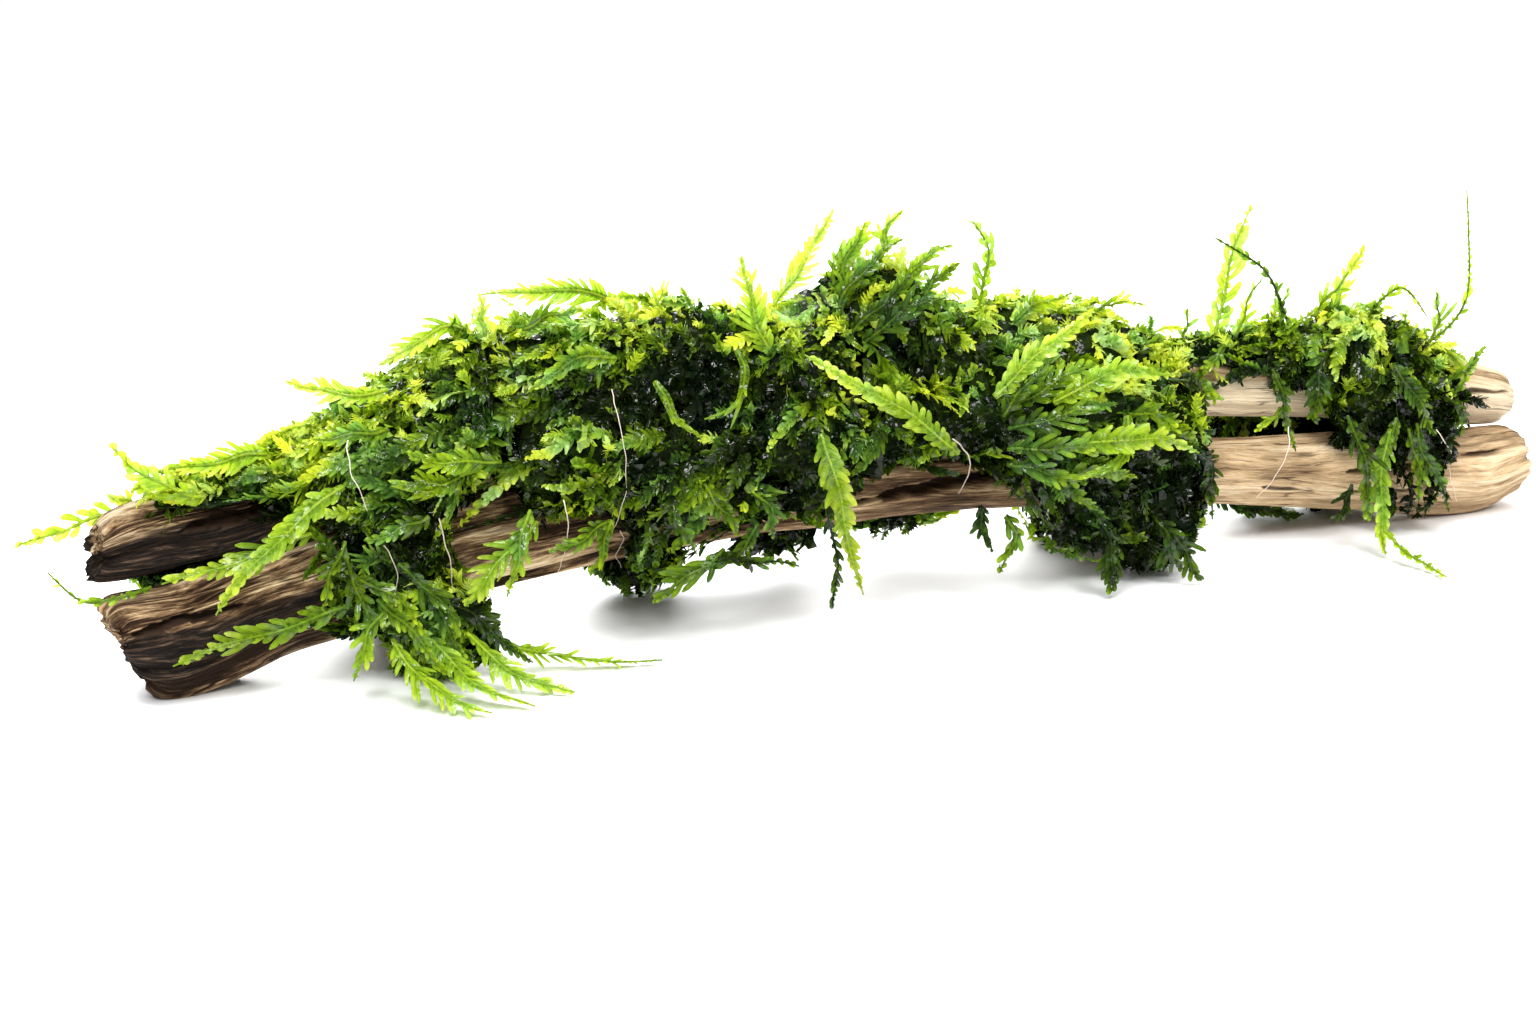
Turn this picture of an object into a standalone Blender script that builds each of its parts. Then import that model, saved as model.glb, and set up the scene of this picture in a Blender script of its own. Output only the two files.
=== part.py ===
"""Moss on driftwood: two weathered sticks, one lying on the other, under the moss grown over both.

Lengths are in millimetres until the last step, which places everything in metres. +X runs along the
sticks from the dark broken end to the pale rounded end, -Y is the side that is looked at, and the
floor is the plane z = 0. The lower stick is bowed, so it stands on its two ends, and the moss hangs
down to the floor in front of it and behind it.
"""

import math
from typing import NamedTuple

import bmesh
import bpy
from mathutils import Matrix, Vector, noise
from mathutils.bvhtree import BVHTree


class Split(NamedTuple):
    """An open split in the wood: its middle, its size, and its slope along the stick in degrees."""

    centre: tuple
    length: float
    height: float
    depth: float
    slope: float


class Stick(NamedTuple):
    """A stick: x, z and radius along its middle, its y, the lean of its broken end, and its splits."""

    name: str
    line: tuple
    y: float
    lean: float
    turn: float
    splits: tuple


class Frond(NamedTuple):
    """A frond that stands out of the moss: its root, its bend and its tip, its width and its facing."""

    name: str
    root: tuple
    bend: tuple
    tip: tuple
    width: float
    face: Vector


MM = 0.001
WELD = 0.01

# The middle of the object's box, which becomes the origin.
CENTRE_X = -3.2
CENTRE_Y = -7.6

LOWER_STICK = Stick(
    name="lower_stick",
    line=(
        (-147.6, 8.3, 7.8),
        (-146.6, 8.3, 9.1),
        (-140.0, 8.5, 9.6),
        (-133.0, 9.8, 9.4),
        (-122.0, 12.9, 8.7),
        (-110.0, 15.0, 8.3),
        (-84.0, 20.0, 7.7),
        (-54.0, 22.4, 7.4),
        (-23.0, 22.9, 7.1),
        (0.0, 22.6, 7.4),
        (18.0, 21.7, 7.3),
        (40.0, 19.8, 7.0),
        (75.0, 15.8, 6.9),
        (91.0, 13.9, 7.4),
        (111.0, 11.9, 8.4),
        (125.0, 10.0, 8.9),
        (138.0, 8.5, 9.1),
        (144.5, 8.6, 9.0),
        (150.0, 9.5, 8.3),
        (153.6, 10.2, 7.2),
        (155.0, 10.4, 5.4),
    ),
    y=0.0,
    lean=-0.52,
    turn=0.7,
    splits=(
        Split((12.0, -7.4, 22.0), 42.0, 2.2, 3.2, 3.0),
        Split((-139.0, -8.2, 14.6), 20.0, 1.6, 2.6, 9.0),
        Split((118.0, -8.4, 13.6), 30.0, 1.3, 2.0, -2.0),
    ),
)
UPPER_STICK = Stick(
    name="upper_stick",
    line=(
        (-150.6, 24.6, 4.2),
        (-149.4, 24.9, 5.0),
        (-146.0, 25.7, 5.9),
        (-140.0, 26.5, 6.2),
        (-130.0, 27.6, 6.5),
        (-120.0, 28.8, 6.4),
        (-100.0, 31.6, 6.3),
        (-80.0, 34.2, 6.3),
        (-40.0, 37.2, 6.3),
        (0.0, 37.6, 6.3),
        (40.0, 36.4, 6.3),
        (75.0, 33.2, 6.4),
        (93.0, 31.0, 6.1),
        (104.0, 29.6, 6.0),
        (125.0, 27.0, 6.3),
        (142.0, 24.6, 6.5),
        (151.5, 22.8, 5.7),
        (155.5, 21.6, 4.6),
        (156.8, 21.2, 3.2),
    ),
    y=6.0,
    lean=0.1,
    turn=2.1,
    splits=(
        Split((-125.0, -0.6, 30.6), 26.0, 2.8, 3.6, 8.0),
        Split((147.0, 0.2, 25.4), 16.0, 1.2, 1.8, -8.0),
    ),
)
STICK_STATIONS = 26
STICK_BEVEL_RESOLUTION = 6
END_LEAN_REACH = 9.0

# Lengthwise ridges of weathered wood: lobes around, turns per millimetre, and share of the radius.
RIDGES = ((3, 0.0033, 0.032), (5, -0.0054, 0.024))
RIDGE_REACH = 1.06
STICK_GAP = 0.35

# The moss, as the overlapping cushions it is made of: centre x, y, z and half sizes x, y, z.
LEFT_CUSHIONS = (
    (-130, 7, 34, 13, 8, 5),
    (-114, 5, 35.5, 11, 12, 8),
    (-103, 3, 38, 13, 15, 11),
    (-92, 3, 40, 13, 16, 13),
    (-83, 4, 45, 13, 15, 14),
    (-100, -9, 24, 11, 8, 14),
    (-93, -12, 8.5, 11, 7, 9),
    (-104, -11, 18, 8, 6, 11),
    (-100, 15, 26, 14, 9, 16),
    (-92, 17, 10, 10, 8, 10.8),
    (-133, 12.5, 22.5, 14, 5, 8.5),
)
CENTRE_CUSHIONS = (
    (-70, 4, 44, 15, 16, 17),
    (-55, 4, 44, 15, 17, 17),
    (-40, 4, 44, 15, 17, 17),
    (-24, 5, 43, 14, 17, 16),
    (-10, 5, 44, 13, 17, 17),
    (-66, -9, 35, 13, 9, 10),
    (-50, -10, 31, 13, 9, 12),
    (-34, -10, 31, 13, 8, 11.5),
    (-18, -10, 31, 12, 9, 12),
    (-50, -9.5, 15.5, 7.5, 5.5, 7),
    (-34, -8, 23, 9, 4, 5),
    (-65, 16, 32, 14, 9, 17),
    (-45, 17, 29, 14, 9, 17),
    (-25, 17, 29, 14, 9, 17),
    (-8, 16, 30, 13, 9, 16),
    (-15, 16, 17, 11, 8, 11),
    (-42, 19, 11, 12, 8, 12),
)
RIGHT_CUSHIONS = (
    (2, 5, 53, 10, 11, 15),
    (16, 5, 44, 13, 16, 14),
    (30, 4, 42, 14, 17, 14),
    (44, 4, 40, 14, 17, 14),
    (57, 3, 36, 13, 17, 13),
    (65, 4, 33, 9, 13, 11),
    (0, -10, 36, 11, 8, 9),
    (14, -11, 36, 11, 8, 9),
    (32, -13, 30, 12, 9, 13),
    (46, -15, 28, 13, 9, 14),
    (57, -13, 26, 12, 9, 13),
    (40, -12, 14, 10, 7, 10),
    (54, -14, 11, 11, 8, 11.5),
    (62, -10, 14, 8, 7, 10),
    (8, 16, 31, 13, 9, 16),
    (10, 16, 17, 14, 8, 11),
    (28, 16, 28, 13, 9, 17),
    (48, 15, 26, 13, 9, 16),
    (62, 13, 25, 10, 8, 13),
    (52, 17, 10, 12, 8, 10.8),
)
TUFT_CUSHIONS = (
    (84, 6, 38.5, 12, 7, 5.5),
    (98, 5, 37, 10, 10, 8),
    (112, 4, 36, 12, 13, 11),
    (125, 4, 33, 11, 12, 10),
    (133, 3, 29, 8, 10, 9),
    (112, -8, 28, 10, 7, 9),
    (123, -9, 23, 9, 6, 11),
    (121, -11, 12, 7, 5, 9),
    (112, 14, 25, 12, 8, 14),
    (124, 13, 19, 10, 7, 13),
    (116, 15, 9, 9, 6, 9.8),
    (101, 14, 12, 12, 7, 10),
    (88, 13.5, 27, 13, 5, 8),
    (138, 12, 22, 8, 5, 6),
)
MOSS_SPANS = {
    "moss_left_cushion": (-160.0, -79.5),
    "moss_centre_cushion": (-79.1, -8.2),
    "moss_right_cushion": (-7.8, 74.8),
    "moss_right_tuft": (75.2, 160.0),
}
MOSS_VOXEL = 2.0
MOSS_BUMP_SIZE = 7.0
MOSS_BUMP_HEIGHT = 1.3
MOSS_TRIANGLES = 1950
MOSS_TOP = 80.0
MOSS_HALF_WIDTH = 60.0

# Which way the flat of a frond faces: to the front and up a little, or to the sky on the floor.
FRONT = Vector((-0.42, -0.87, 0.27))
SKY = Vector((-0.10, -0.30, 0.95))

FRONDS = (
    Frond("frond_far_left_spray", (-144, 10, 30.5), (-154, 11, 29), (-164, 12, 26), 5.0, FRONT),
    Frond("frond_left_top", (-133, -2, 35), (-141, -1, 38), (-148, 2, 45), 4.5, FRONT),
    Frond("frond_left_top_spray", (-121, 0, 41), (-129, 0, 41), (-140, 0, 40), 6.0, FRONT),
    Frond("frond_left_gap", (-117, -12, 29), (-129, -10, 25.5), (-143, -8, 22), 5.5, FRONT),
    Frond("tendril_left_gap", (-145, -9, 22), (-155, -8, 20.5), (-162, -6, 26), 1.4, FRONT),
    Frond("frond_left_bright", (-112, -16, 38), (-125, -17, 30), (-136, -17, 18), 5.5, FRONT),
    Frond("frond_left_shoulder", (-99, -2, 51), (-109, -1, 51), (-117, 0, 54), 5.5, FRONT),
    Frond("frond_pale_shoulder", (-82, 4, 59), (-90, 4, 57), (-99, 4, 54), 5.5, FRONT),
    Frond("frond_arched_top", (-50, 6, 60), (-63, 6, 64.5), (-78, 6, 65), 6.0, FRONT),
    Frond("frond_bright_upright", (-25, -6, 50), (-29, -5, 61), (-30, -3, 70), 7.0, FRONT),
    Frond("frond_tall_pale", (-17, 11, 54), (-9, 13, 64), (-2, 15, 74), 5.5, FRONT),
    Frond("frond_crest_left", (-4, 3, 60), (-4, 3, 67), (-1, 3, 73), 5.0, FRONT),
    Frond("frond_crest_middle", (3, 6, 62), (5, 7, 69), (9, 7, 74), 5.0, FRONT),
    Frond("frond_crest_right", (4, -4, 60), (6, -5, 66), (13, -6, 69), 5.0, FRONT),
    Frond("frond_curled_upright", (24, 4, 53), (26.5, 4, 63), (23, 4, 71), 5.0, FRONT),
    Frond("frond_yellow_upright", (81, 6, 41), (84, 6, 55), (89, 6, 69), 7.0, FRONT),
    Frond("stem_dark_upright", (98, 3, 43), (90, 2, 56), (78, 2, 64), 1.6, FRONT),
    Frond("frond_tuft_pale", (109, 5, 44), (113, 5, 52), (117, 5, 59), 5.5, FRONT),
    Frond("stem_tuft_arched", (116, 1, 44), (123, 1, 50), (132, 2, 43), 1.8, FRONT),
    Frond("tendril_long", (129, -2, 38), (141, 1, 47), (142, 4, 69), 1.4, FRONT),
    Frond("stem_tuft_end", (131, -6, 27), (136, -6, 32), (141, -6, 37), 2.0, FRONT),
    Frond("frond_long_face", (7, -21, 32), (-9, -23, 44), (-25, -20, 54), 7.0, FRONT),
    Frond("frond_hanging", (-22, -21, 39), (-18, -21, 25), (-12, -19, 6), 8.0, FRONT),
    Frond("frond_fan_up", (15, -20, 42), (25, -21, 50), (37, -19, 57), 7.0, FRONT),
    Frond("frond_fan_across", (25, -25, 41), (37, -28, 46), (51, -27, 44), 7.5, FRONT),
    Frond("frond_fan_point", (27, -27, 32), (40, -31, 34), (55, -30, 29), 8.0, FRONT),
    Frond("frond_beard_middle", (42, -21, 13), (41, -23, 7), (39, -25, 1.2), 6.0, FRONT),
    Frond("frond_beard_right", (54, -23, 12), (57, -24, 6), (60, -25, 1.2), 6.0, FRONT),
    Frond("frond_tuft_hanging", (110, -17, 25), (106, -20, 11), (104.5, -25, 1.0), 7.0, FRONT),
    Frond("tendril_tuft_floor", (109, -25, 5), (107.5, -33, 1.5), (106, -43, 1.0), 2.4, SKY),
    Frond("frond_left_stick", (-112, -18, 17), (-127, -15, 13), (-143, -13, 8.5), 6.5, FRONT),
    Frond("frond_left_drop", (-107, -21, 16), (-111, -23, 12), (-114, -24, 5), 4.5, FRONT),
    Frond("frond_floor_near", (-106, -22, 11), (-102, -31, 4), (-94, -39, 1.0), 6.5, SKY),
    Frond("frond_floor_second", (-99, -22, 10), (-94, -31, 4), (-86, -39, 1.0), 6.0, SKY),
    Frond("frond_floor_third", (-92, -21, 10), (-86, -28, 4), (-77, -35, 1.0), 6.0, SKY),
    Frond("frond_floor_long", (-84, -17, 6), (-73, -21, 2.5), (-56, -25, 1.0), 5.0, SKY),
    Frond("frond_mid_left", (-76, -15, 27), (-85, -19, 21), (-92, -21, 15), 6.5, FRONT),
    Frond("frond_underside", (-46, -13, 17), (-51, -16, 13), (-57, -17, 9), 6.0, FRONT),
)
ROOT_STEPS = 40
ROOT_DEPTH = 1.2
TOOTH_PITCH = 4.0
FEWEST_TEETH = 3
MOST_TEETH = 6
ROOT_WIDTH_SHARE = 0.4
NOTCH_SHARE = 0.55
LEAST_HALF_WIDTH = 0.5
BLADE_THICKNESS = 0.8
BLADE_GAP = 0.4
BLADE_REACH = 3.0
WAY_OUT = Vector((0.13, -0.27, 0.95)).normalized()
CROSSING_STEP = 0.001
SETTLING_ROUNDS = 10
FLOOR_GAP = 0.1

WOOD_BROWN = (0.42, 0.29, 0.17, 1.0)
WOOD_TAN = (0.50, 0.36, 0.21, 1.0)
MOSS_GREEN = (0.07, 0.17, 0.03, 1.0)
FROND_GREEN = (0.26, 0.45, 0.05, 1.0)
WOOD_ROUGHNESS = 0.8
MOSS_ROUGHNESS = 0.55
FROND_ROUGHNESS = 0.45


def clear_scene():
    """Remove whatever the scene holds, so that the model starts from nothing."""
    for old in list(bpy.data.objects):
        bpy.data.objects.remove(old)


def material(name, colour, roughness):
    """A plain surface that isn't metal."""
    made = bpy.data.materials.new(name)
    made.use_nodes = True
    shader = made.node_tree.nodes["Principled BSDF"]
    shader.inputs["Base Color"].default_value = colour
    shader.inputs["Roughness"].default_value = roughness
    shader.inputs["Metallic"].default_value = 0.0
    return made


def collection(name):
    """A new collection under the scene's own."""
    made = bpy.data.collections.new(name)
    bpy.context.scene.collection.children.link(made)
    return made


def add_part(name, mesh, finish, parts):
    """A named part from a mesh, with its one material."""
    made = bpy.data.objects.new(name, mesh)
    mesh.materials.clear()
    mesh.materials.append(finish)
    parts.objects.link(made)
    return made


def add_cutter(name, mesh, cutters):
    """A cutter or a guide, which shows as wire and isn't part of the object."""
    made = bpy.data.objects.new(name, mesh)
    made.hide_render = True
    made.display_type = "WIRE"
    cutters.objects.link(made)
    return made


def finished_mesh(shape, name):
    """Turn a bmesh into a mesh, and let go of the bmesh."""
    mesh = bpy.data.meshes.new(name)
    shape.to_mesh(mesh)
    shape.free()
    return mesh


def evaluated_mesh(thing):
    """An object's mesh with its modifiers applied, and loose caps welded on."""
    bpy.context.view_layer.update()
    depsgraph = bpy.context.evaluated_depsgraph_get()
    mesh = bpy.data.meshes.new_from_object(thing.evaluated_get(depsgraph))
    shape = bmesh.new()
    shape.from_mesh(mesh)
    bmesh.ops.remove_doubles(shape, verts=shape.verts, dist=WELD)
    bmesh.ops.dissolve_degenerate(shape, dist=WELD, edges=shape.edges)
    shape.to_mesh(mesh)
    shape.free()
    return mesh


def apply_modifiers(thing):
    """Give an object the mesh that its modifiers make, in place of its own."""
    mesh = evaluated_mesh(thing)
    thing.modifiers.clear()
    thing.data = mesh


def boolean(thing, cutter, operation):
    """Cut, join or keep what two shapes share."""
    modifier = thing.modifiers.new(operation.lower(), "BOOLEAN")
    modifier.object = cutter
    modifier.operation = operation
    modifier.solver = "EXACT"


def between(before, a, b, after, share):
    """A point between a and b on the smooth curve through four points in a row."""
    straight = (b - before) * share
    bowed = (2 * before - 5 * a + 4 * b - after) * share**2
    turned = (3 * a - before - 3 * b + after) * share**3
    return 0.5 * (2 * a + straight + bowed + turned)


def smooth_through(points, count, steps=24):
    """Points evenly spread along the smooth curve through the given ones, ends included."""
    known = [2 * points[0] - points[1], *points, 2 * points[-1] - points[-2]]
    dense = []
    for corners in zip(known, known[1:], known[2:], known[3:]):
        dense += [between(*corners, step / steps) for step in range(steps)]
    dense.append(points[-1])
    lengths = [0.0]
    for before, after in zip(dense, dense[1:]):
        lengths.append(lengths[-1] + (after - before).length)
    spread = []
    index = 0
    for station in range(count):
        wanted = lengths[-1] * station / (count - 1)
        while index < len(dense) - 2 and lengths[index + 1] < wanted:
            index += 1
        share = (wanted - lengths[index]) / (lengths[index + 1] - lengths[index])
        spread.append(dense[index].lerp(dense[index + 1], share))
    return spread


def stick_stations(line):
    """Stations of x, z and radius along a stick, evenly spread between its two rounded ends."""
    points = [Vector(point) for point in line]
    even = smooth_through(points[1:-1], STICK_STATIONS)
    return [points[0], *even, points[-1]]


def tube_mesh(name, stations, y, widen):
    """A closed tube along stations of x, z and radius, each radius widened by a share and an amount."""
    share, extra = widen
    curve = bpy.data.curves.new(name, "CURVE")
    curve.dimensions = "3D"
    curve.bevel_depth = 1.0
    curve.bevel_resolution = STICK_BEVEL_RESOLUTION
    curve.use_fill_caps = True
    spline = curve.splines.new("POLY")
    spline.points.add(len(stations) - 1)
    for point, (x, z, radius) in zip(spline.points, stations):
        point.co = (x, y, z, 1.0)
        point.radius = radius * share + extra
    guide = bpy.data.objects.new(name, curve)
    bpy.context.scene.collection.objects.link(guide)
    mesh = evaluated_mesh(guide)
    bpy.data.objects.remove(guide)
    return mesh


def station_at(stations, x):
    """The station of a stick at x, between the two nearest."""
    for before, after in zip(stations, stations[1:]):
        if x <= after.x:
            share = max(0.0, (x - before.x) / (after.x - before.x))
            return before.lerp(after, share)
    return stations[-1]


def weather(mesh, stick, stations):
    """Raise the ridges that run along a stick, and slant its broken end."""
    for vertex in mesh.vertices:
        x, y, z = vertex.co
        _, middle_z, _ = station_at(stations, x)
        angle = math.atan2(z - middle_z, y - stick.y)
        swell = 1.0
        for lobes, twist, share in RIDGES:
            swell += share * math.sin(lobes * (angle + stick.turn) + math.tau * twist * x)
        height = (z - middle_z) * swell
        near_end = max(0.0, 1.0 - (x - stations[0].x) / END_LEAN_REACH)
        vertex.co.x = x + stick.lean * height * near_end
        vertex.co.y = stick.y + (y - stick.y) * swell
        vertex.co.z = middle_z + height


def flatten_feet(mesh):
    """Cut off what would be below the floor, which leaves the worn flats that a stick stands on."""
    shape = bmesh.new()
    shape.from_mesh(mesh)
    cut = bmesh.ops.bisect_plane(
        shape,
        geom=shape.verts[:] + shape.edges[:] + shape.faces[:],
        plane_co=(0, 0, 0),
        plane_no=(0, 0, -1),
        clear_outer=True,
    )
    rims = [edge for edge in cut["geom_cut"] if isinstance(edge, bmesh.types.BMEdge)]
    bmesh.ops.holes_fill(shape, edges=rims, sides=0)
    shape.to_mesh(mesh)
    shape.free()


def split_mesh(name, split):
    """A long thin lens, which opens a split in a stick."""
    shape = bmesh.new()
    bmesh.ops.create_icosphere(shape, subdivisions=2, radius=1.0)
    half_sizes = (split.length / 2, split.depth, split.height / 2)
    bmesh.ops.scale(shape, vec=half_sizes, verts=shape.verts)
    slope = Matrix.Rotation(math.radians(-split.slope), 4, "Y")
    place = Matrix.Translation(split.centre) @ slope
    bmesh.ops.transform(shape, matrix=place, verts=shape.verts)
    return finished_mesh(shape, name)


def add_stick(stick, finish, parts, cutters):
    """One driftwood stick, with its ridges, its splits and its flat feet."""
    stations = stick_stations(stick.line)
    mesh = tube_mesh(stick.name, stations, stick.y, (1.0, 0.0))
    weather(mesh, stick, stations)
    flatten_feet(mesh)
    made = add_part(stick.name, mesh, finish, parts)
    for number, split in enumerate(stick.splits):
        name = f"{stick.name}_split_{number}"
        boolean(made, add_cutter(name, split_mesh(name, split), cutters), "DIFFERENCE")
    apply_modifiers(made)
    made.data.shade_smooth()
    return made


def add_stick_room(stick, cutters):
    """The room that a stick takes in the moss, with a small gap all round."""
    sides = 4 + 2 * STICK_BEVEL_RESOLUTION
    corner = 1.0 / math.cos(math.pi / sides)
    name = stick.name + "_room"
    widen = (RIDGE_REACH * corner, STICK_GAP * corner)
    return add_cutter(name, tube_mesh(name, stick_stations(stick.line), stick.y, widen), cutters)


def cushions_mesh(cushions):
    """The moss cushions as overlapping balls in one mesh."""
    shape = bmesh.new()
    for x, y, z, half_x, half_y, half_z in cushions:
        place = Matrix.Translation((x, y, z)) @ Matrix.Diagonal((half_x, half_y, half_z, 1.0))
        bmesh.ops.create_icosphere(shape, subdivisions=3, radius=1.0, matrix=place)
    return finished_mesh(shape, "moss_cushions")


def add_moss_coat(cutters):
    """All the moss as one bumpy body, before the sticks' room is cut from it."""
    cushions = LEFT_CUSHIONS + CENTRE_CUSHIONS + RIGHT_CUSHIONS + TUFT_CUSHIONS
    coat = add_cutter("moss_coat", cushions_mesh(cushions), cutters)
    skin = coat.modifiers.new("skin", "REMESH")
    skin.mode = "VOXEL"
    skin.voxel_size = MOSS_VOXEL
    apply_modifiers(coat)
    normals = [vertex.normal.copy() for vertex in coat.data.vertices]
    for vertex, normal in zip(coat.data.vertices, normals):
        vertex.co += normal * MOSS_BUMP_HEIGHT * noise.noise(vertex.co / MOSS_BUMP_SIZE)
    coarse = coat.modifiers.new("coarse", "DECIMATE")
    coarse.ratio = MOSS_TRIANGLES / (2 * len(coat.data.polygons))
    apply_modifiers(coat)
    return coat


def keep_largest_body(mesh):
    """Drop the crumbs that a cut leaves."""
    shape = bmesh.new()
    shape.from_mesh(mesh)
    waiting = set(shape.verts)
    bodies = []
    while waiting:
        body = {waiting.pop()}
        front = set(body)
        while front:
            beside = {edge.other_vert(vertex) for vertex in front for edge in vertex.link_edges}
            front = beside & waiting
            waiting -= front
            body |= front
        bodies.append(body)
    largest = max(bodies, key=len)
    crumbs = [vertex for vertex in shape.verts if vertex not in largest]
    bmesh.ops.delete(shape, geom=crumbs, context="VERTS")
    shape.to_mesh(mesh)
    shape.free()


def span_mesh(name, low_x, high_x):
    """A block from the floor up, between two places along the sticks."""
    shape = bmesh.new()
    bmesh.ops.create_cube(shape, size=1.0)
    size = (high_x - low_x, 2 * MOSS_HALF_WIDTH, MOSS_TOP)
    bmesh.ops.scale(shape, vec=size, verts=shape.verts)
    bmesh.ops.translate(shape, vec=((low_x + high_x) / 2, 0, MOSS_TOP / 2), verts=shape.verts)
    return finished_mesh(shape, name)


def add_moss(name, span, coat, rooms, finish, parts, cutters):
    """One clump of the moss: its stretch of the coat, less the room of the two sticks."""
    made = add_part(name, coat.data.copy(), finish, parts)
    block = name + "_span"
    boolean(made, add_cutter(block, span_mesh(block, *span), cutters), "INTERSECT")
    for room in rooms:
        boolean(made, room, "DIFFERENCE")
    apply_modifiers(made)
    keep_largest_body(made.data)
    made.data.shade_smooth()
    return made


def surface_tree(thing):
    """A part's faces, for finding the nearest place on it."""
    shape = bmesh.new()
    shape.from_mesh(thing.data)
    bmesh.ops.translate(shape, vec=thing.location, verts=shape.verts)
    bmesh.ops.triangulate(shape, faces=shape.faces)
    tree = BVHTree.FromBMesh(shape)
    shape.free()
    return tree


def is_inside(tree, point):
    """Whether a point is within a part, by how often a straight way out of it crosses the faces."""
    crossings = 0
    start = point
    while start is not None:
        start, _, _, _ = tree.ray_cast(start, WAY_OUT)
        if start is not None:
            crossings += 1
            start = start + WAY_OUT * CROSSING_STEP
    return crossings % 2 == 1


def push_out(tree, probe, wanted):
    """The move that brings a point as far out of a part as wanted, or none if it is already."""
    nearest, _, _, distance = tree.find_nearest(probe, BLADE_REACH)
    if nearest is None:
        return Vector()
    if is_inside(tree, probe):
        return (nearest - probe).normalized() * (distance + wanted)
    if distance < wanted:
        return (probe - nearest).normalized() * (wanted - distance)
    return Vector()


def midrib(frond, share):
    """A point on a frond's midrib, which passes through its root, its bend and its tip."""
    root, bend, tip = Vector(frond.root), Vector(frond.bend), Vector(frond.tip)
    pull = 2 * bend - (root + tip) / 2
    return (1 - share) ** 2 * root + 2 * share * (1 - share) * pull + share**2 * tip


def midrib_start(frond, mosses):
    """How far along its midrib a frond comes out of the moss that it grows from."""
    start = 0.0
    for step in range(ROOT_STEPS):
        point = midrib(frond, step / ROOT_STEPS)
        for moss in mosses:
            if is_inside(moss, point) and moss.find_nearest(point)[3] > ROOT_DEPTH:
                start = (step + 1) / ROOT_STEPS
    return start


def blade_points(frond, mosses):
    """Points along the part of a midrib that shows, two for each pair of teeth."""
    start = midrib_start(frond, mosses)
    length = (midrib(frond, 1.0) - midrib(frond, start)).length
    teeth = min(MOST_TEETH, max(FEWEST_TEETH, round(length / TOOTH_PITCH)))
    shares = [start + (1 - start) * step / (2 * teeth) for step in range(2 * teeth + 1)]
    return [midrib(frond, share) for share in shares]


def blade_half_widths(count, width):
    """Half widths along a frond: slim at the root, notched between its teeth, slim at the tip."""
    half_widths = []
    for station in range(count):
        share = station / (count - 1)
        outline = ROOT_WIDTH_SHARE + (1 - ROOT_WIDTH_SHARE) * math.sin(math.pi * share**0.8)
        notch = 1.0 if station % 2 else NOTCH_SHARE
        half_widths.append(max(LEAST_HALF_WIDTH, outline * notch * width / 2))
    return half_widths


def blade_axes(points, station, face):
    """The sideways and outward directions of a frond at one of its stations."""
    before = points[max(0, station - 1)]
    after = points[min(len(points) - 1, station + 1)]
    along = (after - before).normalized()
    outward = (face - along * face.dot(along)).normalized()
    return along.cross(outward).normalized(), outward


def settle(points, half_widths, face, trees):
    """Move a frond's points a little off whatever they are too near to, and keep it off the floor."""
    wanted = BLADE_THICKNESS / 2 + BLADE_GAP
    moves = []
    for station, point in enumerate(points):
        side, _ = blade_axes(points, station, face)
        following = points[min(len(points) - 1, station + 1)]
        centres = (point, (point + following) / 2)
        reaches = [side * half_widths[station] * across for across in (-1.0, -0.5, 0.0, 0.5, 1.0)]
        probes = [centre + reach for centre in centres for reach in reaches]
        pushes = [push_out(tree, probe, wanted) for probe in probes for tree in trees]
        moves.append(max(pushes, key=lambda push: push.length))
    for point, move in zip(points, moves):
        point += move
        point.z = max(point.z, FLOOR_GAP + BLADE_THICKNESS / 2)


def blade_mesh(name, points, half_widths, face):
    """A toothed blade: a lozenge carried along the midrib, wide and narrow in turn."""
    shape = bmesh.new()
    rings = []
    for station, point in enumerate(points):
        side, outward = blade_axes(points, station, face)
        half = half_widths[station]
        corners = (side * half, outward * BLADE_THICKNESS / 2)
        corners += (-corners[0], -corners[1])
        rings.append([shape.verts.new(point - points[0] + corner) for corner in corners])
    for ring, following in zip(rings, rings[1:]):
        for corner in range(4):
            beside = (corner + 1) % 4
            shape.faces.new((ring[corner], ring[beside], following[beside], following[corner]))
    shape.faces.new(rings[0])
    shape.faces.new(rings[-1])
    bmesh.ops.recalc_face_normals(shape, faces=shape.faces)
    bmesh.ops.triangulate(shape, faces=shape.faces)
    return finished_mesh(shape, name)


def add_frond(frond, mosses, trees, finish, parts):
    """One frond, stem or tendril, laid just clear of everything made before it."""
    points = blade_points(frond, mosses)
    half_widths = blade_half_widths(len(points), frond.width)
    for _ in range(SETTLING_ROUNDS):
        settle(points, half_widths, frond.face, trees)
    made = add_part(frond.name, blade_mesh(frond.name, points, half_widths, frond.face), finish, parts)
    made.location = points[0]
    return made


def place_in_metres(parts):
    """Bring every part from millimetres to metres, about the origin under the object's middle."""
    centre = Vector((CENTRE_X, CENTRE_Y, 0.0))
    for made in parts.objects:
        made.data.transform(Matrix.Scale(MM, 4))
        made.location = (made.location - centre) * MM


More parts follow.
